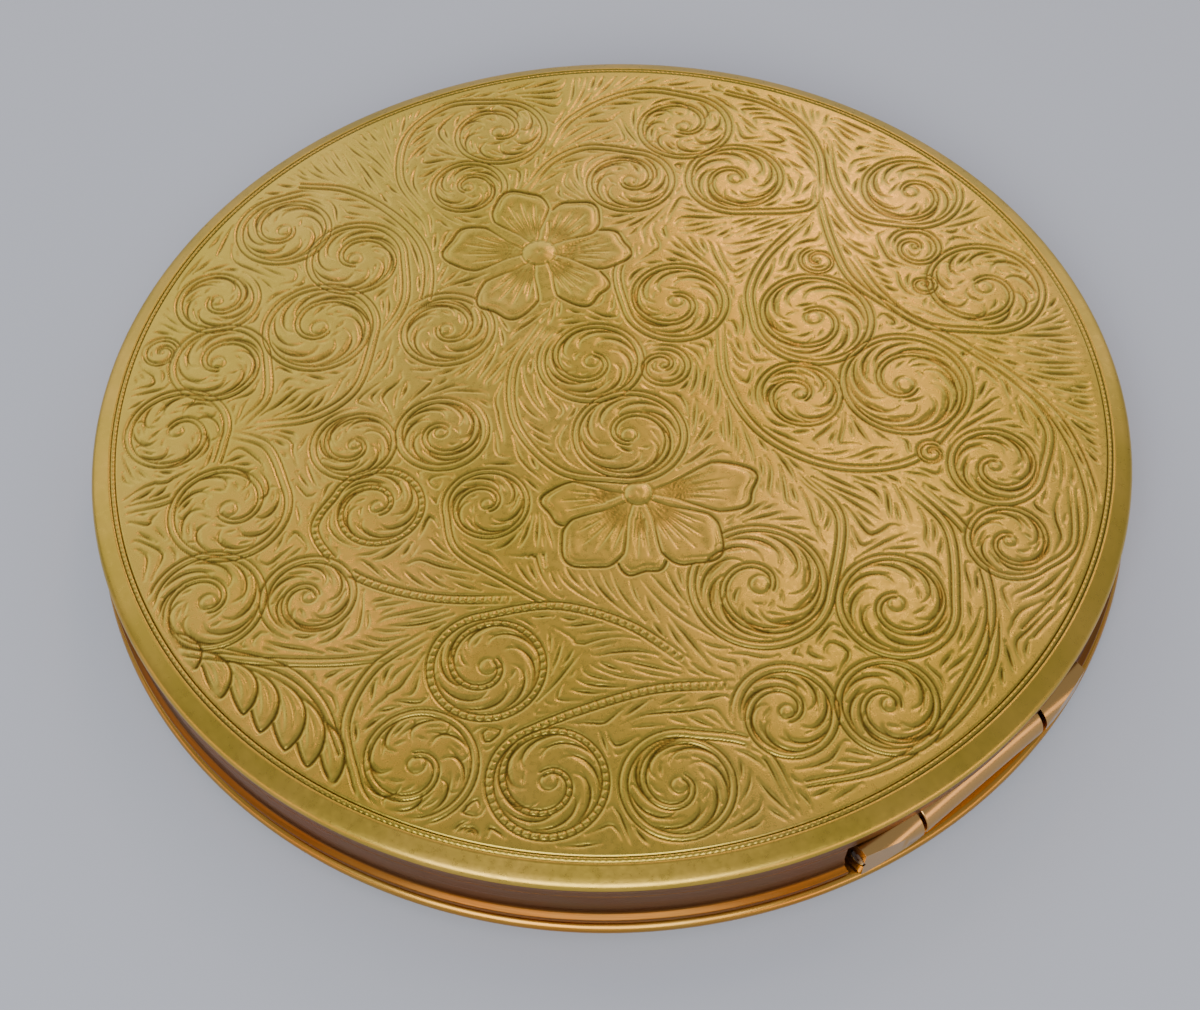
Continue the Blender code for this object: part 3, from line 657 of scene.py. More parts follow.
# ---- materials ------------------------------------------------------------------------------
class Look:
    """A Principled material and short ways to add procedural detail to it."""

    def __init__(self, name, colour, roughness, metallic=1.0, **values):
        self.material = bpy.data.materials.new(name)
        self.material.use_nodes = True
        self.tree = self.material.node_tree
        self.shader = self.tree.nodes["Principled BSDF"]
        self.set("Base Color", (*colour, 1))
        self.set("Roughness", roughness)
        self.set("Metallic", metallic)
        for key, value in values.items():
            self.set(key.replace("_", " "), value)

    def set(self, socket, value):
        self.shader.inputs[socket].default_value = value

    def node(self, kind, **inputs):
        made = self.tree.nodes.new(kind)
        for key, value in inputs.items():
            made.inputs[key.replace("_", " ")].default_value = value
        return made

    def link(self, a, b):
        self.tree.links.new(a, b)

    def place(self, scale=(1, 1, 1)):
        """Object coordinates in millimetres, stretched."""
        coordinates = self.node("ShaderNodeTexCoord")
        mapping = self.node("ShaderNodeMapping")
        mapping.inputs["Scale"].default_value = [v / MM for v in scale]
        self.link(coordinates.outputs["Object"], mapping.inputs["Vector"])
        return mapping.outputs["Vector"]

    def noise(self, vector, scale, detail=4.0, roughness=0.55):
        made = self.node("ShaderNodeTexNoise", Scale=scale, Detail=detail, Roughness=roughness)
        self.link(vector, made.inputs["Vector"])
        return made.outputs["Fac"]

    def ramp(self, value, stops):
        made = self.node("ShaderNodeValToRGB")
        while len(made.color_ramp.elements) < len(stops):
            made.color_ramp.elements.new(0.5)
        for element, (place, colour) in zip(made.color_ramp.elements, stops):
            element.position = place
            element.color = (*colour, 1)
        self.link(value, made.inputs["Fac"])
        return made.outputs["Color"]

    def scale_range(self, value, low, high, new_low, new_high):
        made = self.node("ShaderNodeMapRange")
        for key, number in (("From Min", low), ("From Max", high), ("To Min", new_low),
                ("To Max", new_high)):
            made.inputs[key].default_value = number
        self.link(value, made.inputs["Value"])
        return made.outputs["Result"]

    def mix(self, share, a, b, blend="MIX"):
        made = self.node("ShaderNodeMix")
        made.data_type = "RGBA"
        made.blend_type = blend
        for value, socket in ((share, made.inputs[0]), (a, made.inputs[6]), (b, made.inputs[7])):
            if isinstance(value, (int, float)):
                socket.default_value = value
            elif isinstance(value, tuple):
                socket.default_value = (*value, 1)
            else:
                self.link(value, socket)
        return made.outputs[2]

    def bump(self, height, strength, distance):
        made = self.node("ShaderNodeBump", Strength=strength, Distance=distance * MM)
        self.link(height, made.inputs["Height"])
        previous = self.shader.inputs["Normal"]
        if previous.is_linked:
            self.link(previous.links[0].from_socket, made.inputs["Normal"])
        self.link(made.outputs["Normal"], previous)


GOLD_MID = (0.54, 0.41, 0.08)
# The colour of the painted shade in the deepest cuts.
GOLD_GROOVE_SHADE = (0.075, 0.042, 0.008)


def engraved_gold():
    """Satin gold with painted shade in its grooves and a soft unevenness of tone."""
    look = Look("engraved gold with painted groove shade", GOLD_MID, 0.34)
    place = look.place()
    # The groove attribute holds the painted shade of the cuts.
    groove = look.node("ShaderNodeAttribute")
    groove.attribute_name = "groove"
    cloud = look.noise(place, 0.09, 3.0)
    tone = look.ramp(cloud, [(0.3, (0.52, 0.392, 0.055)), (0.7, (0.63, 0.445, 0.085))])
    # How much painted shade darkens the gold at each point.
    groove_shade_share = look.scale_range(groove.outputs["Fac"], 0.15, 1.0, 0.0, 0.9)
    colour = look.mix(groove_shade_share, tone, GOLD_GROOVE_SHADE)
    look.link(colour, look.shader.inputs["Base Color"])
    fine = look.noise(place, 2.4, 5.0)
    look.link(look.scale_range(fine, 0.3, 0.7, 0.23, 0.35), look.shader.inputs["Roughness"])
    look.bump(look.noise(place, 9.0, 2.0), 0.12, 0.02)
    return look.material


def border_gold():
    """Polished gold with many small knocks and scratches."""
    look = Look("border gold", GOLD_MID, 0.24)
    place = look.place()
    cloud = look.noise(place, 0.16, 3.0)
    tone = look.ramp(cloud, [(0.32, (0.52, 0.36, 0.05)), (0.68, (0.65, 0.42, 0.075))])
    look.link(tone, look.shader.inputs["Base Color"])
    pits = look.noise(place, 1.9, 6.0, 0.7)
    look.link(look.scale_range(pits, 0.35, 0.7, 0.26, 0.38), look.shader.inputs["Roughness"])
    look.bump(pits, 0.12, 0.04)
    return look.material


def brushed_gold(name, colour, roughness):
    """Gold turned on a lathe: fine lines that run round the wall."""
    look = Look(name, colour, roughness)
    lines = look.noise(look.place((0.12, 0.12, 9.0)), 1.0, 4.0)
    look.link(look.scale_range(lines, 0.3, 0.7, roughness - 0.07, roughness + 0.10),
            look.shader.inputs["Roughness"])
    cloud = look.noise(look.place(), 0.2, 3.0)
    warm = tuple(min(1.0, v * k) for v, k in zip(colour, (1.08, 0.88, 0.72)))
    look.link(look.mix(look.scale_range(cloud, 0.35, 0.65, 0.0, 1.0), colour, warm),
            look.shader.inputs["Base Color"])
    look.bump(lines, 0.25, 0.03)
    return look.material


def polished_gold(name, colour, roughness):
    look = Look(name, colour, roughness)
    place = look.place()
    wear = look.noise(place, 0.5, 3.0)
    look.link(look.scale_range(wear, 0.35, 0.7, roughness - 0.02, roughness + 0.06),
            look.shader.inputs["Roughness"])
    tone = look.ramp(look.noise(place, 0.12, 2.0),
            [(0.3, tuple(v * 0.93 for v in colour)), (0.7, colour)])
    look.link(tone, look.shader.inputs["Base Color"])
    look.bump(look.noise(place, 6.0, 2.0), 0.04, 0.01)
    return look.material


def steel():
    look = Look("steel", (0.55, 0.55, 0.56), 0.32)
    lines = look.noise(look.place((6.0, 1.0, 1.0)), 2.0, 3.0)
    look.link(look.scale_range(lines, 0.3, 0.7, 0.22, 0.42), look.shader.inputs["Roughness"])
    cloud = look.noise(look.place(), 0.6, 3.0)
    tone = look.ramp(cloud, [(0.3, (0.49, 0.48, 0.48)), (0.7, (0.58, 0.58, 0.59))])
    look.link(tone, look.shader.inputs["Base Color"])
    return look.material


def silvered_glass():
    look = Look("silvered glass", (0.88, 0.90, 0.91), 0.02, 1.0, Coat_Weight=1.0, Coat_Roughness=0.01)
    dust = look.noise(look.place(), 0.5, 6.0, 0.7)
    look.link(look.scale_range(dust, 0.5, 0.85, 0.015, 0.10), look.shader.inputs["Roughness"])
    return look.material


def card():
    look = Look("card", (0.30, 0.24, 0.18), 0.9, 0.0)
    fibre = look.noise(look.place(), 3.0, 6.0)
    look.link(look.ramp(fibre, [(0.3, (0.24, 0.19, 0.14)), (0.7, (0.36, 0.29, 0.22))]),
            look.shader.inputs["Base Color"])
    look.bump(fibre, 0.3, 0.05)
    return look.material


def powder():
    look = Look("face powder", (0.86, 0.66, 0.52), 0.95, 0.0)
    grain = look.noise(look.place(), 5.0, 8.0, 0.7)
    look.link(look.ramp(grain, [(0.3, (0.78, 0.57, 0.44)), (0.7, (0.90, 0.71, 0.57))]),
            look.shader.inputs["Base Color"])
    look.bump(grain, 0.5, 0.08)
    return look.material


def woven(name, colour, dark, pitch, roughness=0.85, sheen=0.2):
    """Threads over and under each other, at a real pitch in millimetres."""
    look = Look(name, colour, roughness, 0.0, Sheen_Weight=sheen, Sheen_Roughness=0.4)
    threads = []
    for axis in ("X", "Y"):
        wave = look.node("ShaderNodeTexWave", Scale=0.314 / pitch, Distortion=0.4, Detail=1.0)
        wave.bands_direction = axis
        look.link(look.place(), wave.inputs["Vector"])
        threads.append(wave.outputs["Fac"])
    both = look.node("ShaderNodeMath")
    both.operation = "MAXIMUM"
    look.link(threads[0], both.inputs[0])
    look.link(threads[1], both.inputs[1])
    look.link(look.ramp(both.outputs["Value"], [(0.35, dark), (0.8, colour)]),
            look.shader.inputs["Base Color"])
    look.bump(both.outputs["Value"], 0.6, 0.06)
    return look.material


def velour():
    look = Look("velour", (0.87, 0.72, 0.62), 0.95, 0.0, Sheen_Weight=0.8, Sheen_Roughness=0.5)
    pile = look.noise(look.place(), 4.5, 6.0, 0.7)
    look.link(look.ramp(pile, [(0.3, (0.70, 0.49, 0.38)), (0.7, (0.88, 0.69, 0.57))]),
            look.shader.inputs["Base Color"])
    look.bump(pile, 0.9, 0.2)
    return look.material


LOOKS = {
    "engraved": engraved_gold(),
    "border": border_gold(),
    # The wall's gold is painted far darker than the other golds: painted shade standing for the shaded floor that
    # the wall reflects.
    "wall": brushed_gold("wall gold with painted shade", (0.21, 0.092, 0.02), 0.32),
    "base": brushed_gold("base gold", (0.50, 0.28, 0.055), 0.26),
    "rose": polished_gold("knuckle gold", (0.62, 0.36, 0.12), 0.22),
    "inner": polished_gold("inner gold", (0.62, 0.45, 0.13), 0.27),
    "steel": steel(),
    "mirror": silvered_glass(),
    "card": card(),
    "powder": powder(),
    "gauze": woven("gauze", (0.86, 0.80, 0.70), (0.55, 0.47, 0.38), 0.35),
    "velour": velour(),
    "ribbon": woven("satin ribbon", (0.78, 0.38, 0.38), (0.64, 0.27, 0.28), 0.12, 0.4, 0.5),
}


# ---- the engraved lid -----------------------------------------------------------------------
GRID = 760
FIELD_MESH_R = FIELD_EDGE_R - 0.1
BEADS = 560


def disc_grid(count):
    """A square grid of points bent into a disc of radius 1, row by row."""
    axis = np.linspace(-1, 1, count + 1)
    a, b = np.meshgrid(axis, axis)
    wide = np.abs(a) >= np.abs(b)
    safe_a = np.where(a == 0, 1, a)
    safe_b = np.where(b == 0, 1, b)
    r = np.where(wide, a, b)
    angle = np.where(wide, np.pi / 4 * b / safe_a, np.pi / 2 - np.pi / 4 * a / safe_b)
    return r * np.cos(angle), r * np.sin(angle)


def grid_faces(count):
    """The faces of that grid, and the points round its rim in order."""
    index = np.arange((count + 1) ** 2).reshape(count + 1, count + 1)
    corners = (index[:-1, :-1], index[:-1, 1:], index[1:, 1:], index[1:, :-1])
    rim = (index[0, :-1], index[:-1, -1], index[-1, :0:-1], index[:0:-1, 0])
    return np.column_stack([c.ravel() for c in corners]), np.concatenate(rim)


def dome(r):
    return FIELD_EDGE_Z + (LID_TOP - FIELD_EDGE_Z) * (1 - (r / FIELD_EDGE_R) ** 2)


def sample(grid, x, y):
    """The map's value at points in the ornament's own frame."""
    u = np.clip((x + HALF) / CELL, 0, CELLS - 2)
    v = np.clip((y + HALF) / CELL, 0, CELLS - 2)
    i, j = u.astype(int), v.astype(int)
    fu, fv = u - i, v - j
    return (
        grid[j, i] * (1 - fu) * (1 - fv)
        + grid[j, i + 1] * fu * (1 - fv)
        + grid[j + 1, i] * (1 - fu) * fv
        + grid[j + 1, i + 1] * fu * fv
    )


def engraved_lid():
    """The lid's top: the engraved field, the beaded ring, the border, the shoulder and the
    upper part of the wall, closed by the ceiling inside."""
    height, groove = engraving_maps()
    gx, gy = disc_grid(GRID)
    x, y = gx.ravel() * FIELD_MESH_R, gy.ravel() * FIELD_MESH_R
    ox, oy = x * TURN_COS + y * TURN_SIN, -x * TURN_SIN + y * TURN_COS
    z = dome(np.hypot(x, y)) + sample(height, ox, oy)
    # Painted shade in the cuts, taken from the map.
    dark = sample(groove, ox, oy)
    points = [np.column_stack([x, y, z])]
    groove_shades = [dark]
    field, ring = grid_faces(GRID)
    quads = [field]
    angle = np.arctan2(y[ring], x[ring])
    count = len(ring)
    bead = np.cos(BEADS * angle)
    border_slope = (BORDER_Z - (LID_EDGE_Z + 0.08)) / (LID_EDGE_R - 0.42 - BORDER_R)
    # Rings of the beaded ring and the border: radius, rise, bead height and painted shade in its grooves.
    profile = [
        (FIELD_EDGE_R - 0.02, 0.0, 0.0, 0.2),
        (FIELD_EDGE_R + 0.06, -0.09, 0.0, 0.9),
        (FIELD_EDGE_R + 0.13, -0.03, 0.010, 0.4),
        (FIELD_EDGE_R + 0.23, 0.01, 0.018, 0.2),
        (FIELD_EDGE_R + 0.33, -0.02, 0.010, 0.4),
        (BORDER_R - 0.04, -0.09, 0.0, 0.9),
        (BORDER_R + 0.04, -0.01, 0.0, 0.1),
    ]
    rings = [(r, FIELD_EDGE_Z - 0.02 * (r > FIELD_EDGE_R) + dz + amp * bead, d) for r, dz, amp,
            d in profile]
    for r in np.linspace(BORDER_R + 0.2, LID_EDGE_R - 0.52, 6):
        rings.append((r, BORDER_Z - (r - BORDER_R) * border_slope + 0 * angle, 0.0))
    for r, h in arc(LID_EDGE_R - 0.55, LID_EDGE_Z - 0.47, 0.55, 72, 0, 7):
        rings.append((r, h + 0 * angle, 0.0))
    lower = [(LID_WALL_R + 0.03, LID_EDGE_Z - 0.9), (LID_WALL_R, LID_SEAM), (LID_INNER_R, LID_SEAM),
            (LID_INNER_R, LID_CEILING - 0.4), (LID_INNER_R - 0.4, LID_CEILING), (18.0, LID_CEILING),
                (1.0, LID_CEILING)]
    rings += [(r, h + 0 * angle, 0.0) for r, h in lower]
    total = len(z)
    last = ring
    ring_kinds = []
    for k, (r, h, d) in enumerate(rings):
        points.append(np.column_stack([r * np.cos(angle), r * np.sin(angle), h]))
        groove_shades.append(np.full(count, d))
        new = np.arange(total, total + count)
        total += count
        quads.append(np.column_stack([last, np.roll(last, -1), np.roll(new, -1), new])[:, ::-1])
        ring_kinds.append(0 if k < 7 else 1 if k < 20 else 2 if k < 23 else 3)
        last = new
    points = np.vstack(points)
    quads = np.vstack(quads)
    mesh = bpy.data.meshes.new("lid_top")
    centre = len(points)
    points = np.vstack([points, [[0, 0, LID_CEILING]]])
    groove_shades = np.concatenate(groove_shades + [np.zeros(1)])
    mesh.vertices.add(len(points))
    mesh.vertices.foreach_set("co", (points * MM).astype(np.float32).ravel())
    fan = np.column_stack([last, np.roll(last, -1), np.full(count, centre)])[:, ::-1]
    corners = np.concatenate([quads.ravel(), fan.ravel()])
    sizes = np.concatenate([np.full(len(quads), 4), np.full(len(fan), 3)])
    mesh.loops.add(len(corners))
    mesh.loops.foreach_set("vertex_index", corners.astype(np.int32))
    mesh.polygons.add(len(sizes))
    mesh.polygons.foreach_set("loop_start",
            np.concatenate([[0], np.cumsum(sizes)[:-1]]).astype(np.int32))
    slots = np.concatenate([np.zeros(GRID * GRID, int)] + [np.full(count,
            k) for k in ring_kinds] + [np.full(len(fan), 3)])
    mesh.polygons.foreach_set("material_index", slots.astype(np.int32))
    mesh.update(calc_edges=True)
    mesh.shade_smooth()
    mesh.set_sharp_from_angle(angle=math.radians(75))
    # The groove attribute carries this painted shade to the material.
    mark = mesh.attributes.new("groove", "FLOAT", "POINT")
    mark.data.foreach_set("value", np.clip(groove_shades, 0, 1).astype(np.float32))
    for key in ("engraved", "border", "wall", "inner"):
        mesh.materials.append(LOOKS[key])
    return make_object("lid_top", mesh, None, "lid", ("lid_shell",))


def turned_piece(name, profile, look, body, node, slot, *segments_and_sharp):
    """A profile turned round Z, as the piece that stands for one CAD node."""
    mesh = turned_mesh(name, profile, *segments_and_sharp)
    return make_object(name, mesh, LOOKS[look], body, (node,))


# ---- the lid's wall, hinge notch and button notch ------------------------------------------
BARREL_R = 1.5
HINGE_NOTCH_HALF = 10.6
BUTTON_NOTCH_HALF = 4.3
BUTTON_NOTCH_TOP = 4.8


def lid_wall():
    """The lid's upright wall under the shoulder, with a cove and a flared foot, cut away for the
    hinge and for the button."""
    profile = [(LID_WALL_R + 0.02, LID_SEAM + 0.02), (LID_WALL_R, 5.0), (LID_WALL_R - 0.04, 3.62)]
    profile += arc(LID_FLARE_R, 3.05, 0.42, 160, 215, 8)
    profile += [(LID_FLARE_R - 0.08, 2.66), (LID_FLARE_R, 2.58), (LID_FLARE_R, LID_FOOT + 0.1),
            (LID_FLARE_R - 0.1, LID_FOOT)]
    profile += [(LID_INNER_R + 0.1, LID_FOOT), (LID_INNER_R, LID_FOOT + 0.1),
            (LID_INNER_R, LID_SEAM + 0.02)]

    def notch(half):
        return lambda r: math.asin(half / r)

    hinge, button = notch(HINGE_NOTCH_HALF), notch(BUTTON_NOTCH_HALF)
    spans = [
        (lambda r: hinge(r), lambda r: math.pi - button(r)),
        (lambda r: math.pi + button(r), lambda r: math.tau - hinge(r)),
    ]
    wall = make_object("lid_wall", swept_mesh("lid_wall", profile[::-1], spans), LOOKS["wall"], "lid",
                       ("lid_shell",))
    bevel(wall, 0.05, 2)
    over_button = [
        (LID_WALL_R + 0.02, LID_SEAM + 0.02), (LID_WALL_R - 0.01, BUTTON_NOTCH_TOP),
        (LID_INNER_R, BUTTON_NOTCH_TOP), (LID_INNER_R, LID_SEAM + 0.02),
    ]
    spans = [(lambda r: math.pi - button(r), lambda r: math.pi + button(r))]
    make_object("lid_wall_over_button", swept_mesh("lid_wall_over_button", over_button, spans, 24),
                LOOKS["wall"], "lid", ("lid_shell",))


# ---- the base, the deck and the inner pieces ------------------------------------------------
def base_pieces():
    corner = arc(34.4, 3.0, 3.0, -90, -22, 14)
    bead = arc(37.74, 1.45, 0.46, -70, 78, 14)
    outline = [(0, 0.12), (30.0, 0.12), (30.4, 0)] + corner + bead
    outline += [(37.7, 1.9), (36.6, 1.9), (36.6, 1.2), (34.3, 0.45), (0, 0.45)]
    turned_piece("base_pan", outline, "base", "base", "base_shell", "gold_satin")

    outer, inner, low, top = 36.3, 35.6, 1.95, 4.3
    profile = [(outer, low), (outer, top - 0.25), (outer - 0.06, top - 0.1), (outer - 0.2, top),
            (inner + 0.15, top),
               (inner + 0.04, top - 0.05), (inner, top - 0.15), (inner, low)]
    gap, catch = 16.0, 4.8
    spans = [
        (lambda r: math.asin(gap / r), lambda r: math.pi - math.asin(catch / r)),
        (lambda r: math.pi + math.asin(catch / r), lambda r: math.tau - math.asin(gap / r)),
    ]
    make_object("upstand", swept_mesh("upstand", profile, spans), LOOKS["inner"], "base",
            ("base_bezel",))
    ledge = [(outer, 1.3), (outer, low), (inner, low), (inner, 1.3)]
    turned_piece("upstand_foot", ledge, "inner", "base", "base_bezel", "gold_plain")

    deck_low, deck_top, hole = 3.6, 4.0, 26.9
    deck = [(35.4, deck_low), (35.4, deck_top - 0.1), (35.37, deck_top - 0.03), (35.3, deck_top)]
    for r in (34.2, 30.0):
        deck += [(r + 0.16, deck_top), (r + 0.08, deck_top - 0.07), (r, deck_top - 0.09),
                (r - 0.08, deck_top - 0.07), (r - 0.16, deck_top)]
    deck += [(hole + 0.1, deck_top), (hole + 0.03, deck_top - 0.03), (hole, deck_top - 0.1),
            (hole, deck_low)]
    plate = turned_piece("deck", deck, "inner", "base", "deck_plate", "gold_inner")
    back = [(-12, 34.5), (12, 34.5), (12, 40), (-12, 40)]
    cut_with(plate, extruded_mesh("deck_back", back, "Z", 3, 5))
    slot = [(-2.8, -40), (2.8, -40), (2.8, -34.2), (-2.8, -34.2)]
    cut_with(plate, extruded_mesh("deck_slot", slot, "Z", 3, 5))
    plate.data.shade_smooth()
    plate.data.set_sharp_from_angle(angle=math.radians(35))

    well = [(0, 0.65), (27.5, 0.65)] + arc(27.5, 1.15, 0.5, -80, -10, 6) + [
        (28.0, 1.2), (28.0, 3.35), (27.6, 3.35), (27.6, 1.3), (27.5, 1.05), (27.3, 0.95), (0, 0.95)]
    turned_piece("well", well, "inner", "base", "powder_well", "gold_inner")

    ring_low, ring_high = limits("sifter_ring")
    outer, low, top = ring_high[0], ring_low[2], ring_high[2]
    inner = 25.9
    sifter = [(outer, low), (outer, top - 0.12), (outer - 0.04, top - 0.03), (outer - 0.14, top)]
    sifter += [(inner + 0.75, top), (inner + 0.6, top - 0.06), (inner + 0.5, top - 0.2),
            (inner + 0.12, top - 0.26), (inner, top - 0.36)]
    sifter += [(inner, low + 0.28), (inner + 0.1, low)]
    turned_piece("sifter", sifter, "inner", "base", "sifter_ring", "gold_inner")


def powder_surface():
    """Loose powder: low mounds and dimples, level at the rim."""
    low, high = limits("powder_fill")
    n = 140
    gx, gy = disc_grid(n)
    x, y = gx.ravel() * (high[0] - 0.02), gy.ravel() * (high[0] - 0.02)
    r = np.hypot(x, y)
    mounds = np.zeros(len(x))
    draw = np.random.default_rng(5)
    for size, height in ((9.0, 0.10), (4.0, 0.06), (1.7, 0.035), (0.8, 0.02)):
        for _ in range(5):
            a, p = draw.uniform(0, math.tau, 2)
            mounds += height * np.sin((x * math.cos(a) + y * math.sin(a)) * math.tau / size + p) / 5
    z = high[2] - 0.16 + mounds * np.clip((high[0] - r) / 2, 0, 1)
    z = np.minimum(z, high[2])
    quads, ring = grid_faces(n)
    top = np.column_stack([x, y, z])
    count = len(top)
    foot = top[ring].copy()
    foot[:, 2] = low[2]
    points = np.vstack([top, foot, [[0, 0, low[2]]]])
    new = np.arange(count, count + len(ring))
    side = np.column_stack([ring, new, np.roll(new, -1), np.roll(ring, -1)])
    faces = [list(q) for q in np.vstack([quads, side])]
    faces += [[int(a), int(count + len(ring)), int(b)] for a, b in zip(new, np.roll(new, -1))]
    mesh = fix_normals(mesh_from("powder", points, faces, None), 50)
    make_object("loose_powder", mesh, LOOKS["powder"], "base", ("powder_fill",))


def gauze():
    """The sifter's gauze: threads at a real pitch, over and under each other."""
    low, high = limits("sifter_gauze")
    radius, middle = high[0], (low[2] + high[2]) / 2
    pitch, thick = 0.8, 0.05
    wave = 0.03
    points, faces = [], []
    lines = np.arange(-radius + pitch / 2, radius, pitch)
    for along in (0, 1):
        for k, across in enumerate(lines):
            half = math.sqrt(max(radius**2 - across**2, 0))
            if half < 1:
                continue
            t = np.arange(-half, half + pitch / 2, pitch / 2)
            phase = np.cos(math.pi * (t + radius) / pitch + math.pi * k) * (1 if along else -1)
            z = middle + wave * phase * 0.9
            start = len(points)
            for place, height in zip(t, z):
                for dx, dz in ((-0.14, -thick / 2), (0.14, -thick / 2), (0.14, thick / 2),
                        (-0.14, thick / 2)):
                    a, b = place, across + dx
                    points.append((a, b, height + dz) if along else (b, a, height + dz))
            for i in range(len(t) - 1):
                for m in range(4):
                    a, b = start + i * 4 + m, start + i * 4 + (m + 1) % 4
                    faces.append([a, b, b + 4, a + 4])
            faces.append([start, start + 1, start + 2, start + 3])
            end = start + (len(t) - 1) * 4
            faces.append([end + 3, end + 2, end + 1, end])
    mesh = fix_normals(mesh_from("gauze", points, faces, None), 60)
    net = make_object("gauze_net", mesh, LOOKS["gauze"], "base", ("sifter_gauze",))


def puff():
    """A thin round velour pad with a sewn edge, a fuzzy top and a satin ribbon across it."""
    low, high = limits("powder_puff")
    radius, floor, top = high[0], low[2], high[2]
    n = 150
    gx, gy = disc_grid(n)
    draw = np.random.default_rng(8)
    x, y = gx.ravel() * (radius - 0.12), gy.ravel() * (radius - 0.12)
    r = np.hypot(x, y)
    crown = top - 0.10 - 0.30 * (np.clip(r / radius, 0, 1) ** 14)
    stitched = -0.16 * np.exp(-(((r - radius + 1.5) / 0.28) ** 2)) * (0.75 + 0.25 * np.cos(np.arctan2(y, x) * 64))
    fuzz = draw.uniform(-0.03, 0.03, len(x)) + 0.03 * np.sin(x * 1.7 + 1.1 * np.sin(y * 1.3)) * np.sin(y * 2.1)
    z = crown + stitched + fuzz
    z = np.minimum(z, top)
    quads, ring = grid_faces(n)
    top_points = np.column_stack([x, y, z])
    angle = np.arctan2(y[ring], x[ring])
    points, faces = [top_points], [list(q) for q in quads]
    total, last = len(top_points), ring
    for rr, zz in ((radius - 0.02, floor + 0.42), (radius - 0.02, floor + 0.22),
            (radius - 0.3, floor + 0.04), (radius - 1.2, floor)):
        points.append(np.column_stack([rr * np.cos(angle), rr * np.sin(angle), np.full(len(ring), zz)]))
        new = np.arange(total, total + len(ring))
        total += len(ring)
        faces += [list(q) for q in np.column_stack([last, new, np.roll(new, -1), np.roll(last, -1)])]
        last = new
    points.append(np.array([[0, 0, floor]]))
    faces += [[int(a), total, int(b)] for a, b in zip(last, np.roll(last, -1))]
    mesh = fix_normals(mesh_from("puff", np.vstack(points), faces, None), 60)
    pad = make_object("puff_pad", mesh, LOOKS["velour"], "base", ("powder_puff",))

    low, high = limits("puff_ribbon")
    half_w, half_l, foot, top = high[0], high[1], low[2], high[2]
    lengths = np.linspace(-half_l, half_l, 90)
    widths = np.linspace(-half_w, half_w, 17)
    points, faces = [], []
    for lift in (0.0, -0.03):
        for b in lengths:
            for a in widths:
                u, v = a / half_w, b / half_l
                edge = 0.012 * math.cos(b * 9.0) * (abs(u) > 0.92)
                wave = 0.45 + 0.4 * math.cos(2.1 * v + 0.4) + 0.12 * math.sin(5.0 * v) * u
                points.append((a * (1 - 0.03 * math.cos(2 * v)), b,
                        foot + 0.03 + (top - foot - 0.04) * min(max(wave, 0), 1) + edge * 0.3 + lift))
    columns, rows = len(widths), len(lengths)
    sheet = rows * columns
    for i in range(rows - 1):
        for k in range(columns - 1):
            a = i * columns + k
            faces.append([a, a + 1, a + 1 + columns, a + columns])
            faces.append([sheet + a, sheet + a + columns, sheet + a + 1 + columns, sheet + a + 1])
    border = [k for k in range(columns)] + [i * columns + columns - 1 for i in range(1, rows)]
    border += [(rows - 1) * columns + k for k in range(columns - 2, -1,
            -1)] + [i * columns for i in range(rows - 2, 0, -1)]
    for a, b in zip(border, border[1:] + border[:1]):
        faces.append([a, sheet + a, sheet + b, b])
    mesh = fix_normals(mesh_from("ribbon", points, faces, None), 60)
    ribbon = make_object("ribbon", mesh, LOOKS["ribbon"], None, ("puff_ribbon",))
    ribbon.parent = pad


# ---- the inner door and the mirror ----------------------------------------------------------
def door_and_mirror():
    radius, low, top = 26.6, limits("powder_door")[0][2], limits("powder_door")[1][2]
    ring = [(0, low), (radius, low), (radius, top - 0.1), (radius - 0.03, top - 0.03),
            (radius - 0.1, top)]
    for r in np.arange(radius - 0.9, 2.0, -1.5):
        ring += [(r + 0.22, top), (r + 0.1, top - 0.035), (r, top - 0.045), (r - 0.1, top - 0.035),
                (r - 0.22, top)]
    ring += [(1.0, top), (0, top - 0.02)]
    turned_piece("door_disc", ring, "inner", "inner_door", "powder_door", "gold_inner")

    glass_low, glass_high = limits("mirror_glass")
    g = 33.2
    glass = [(0, glass_high[2]), (g, glass_high[2]), (g, glass_low[2] + 0.15),
            (g - 0.02, glass_low[2] + 0.12), (g - 0.15, glass_low[2]), (0, glass_low[2])]
    turned_piece("mirror_plate", glass, "mirror", "lid", "mirror_glass", "mirror", 384, 20)
    outer, low, top, lip = 34.3, 4.9, 6.5, 32.0
    inner = outer - 0.8
    ring = [(outer, top), (outer, low + 0.3)] + arc(outer - 0.3, low + 0.3, 0.3, 0, -90, 6)[1:]
    ring += [(33.6, low), (33.5, low + 0.05), (33.35, low + 0.05), (33.25, low)]
    ring += arc(lip + 0.28, low + 0.27, 0.27, -90, -170, 6) + [(inner, low + 0.28), (inner, top)]
    turned_piece("mirror_ring", ring, "inner", "lid", "mirror_bezel", "gold_plain")


# ---- the hinge ------------------------------------------------------------------------------
def barrel_outline(leg):
    if leg == "down":
        tube = arc(HINGE_Y, HINGE_Z, BARREL_R, -30, 180, 40)
        return tube + [(HINGE_Y - BARREL_R, 2.15), (HINGE_Y + 0.65, 2.15)]
    tube = arc(HINGE_Y, HINGE_Z, BARREL_R, 180, 450, 44)
    return tube + [(HINGE_Y, 6.35), (HINGE_Y - BARREL_R, 6.35)]


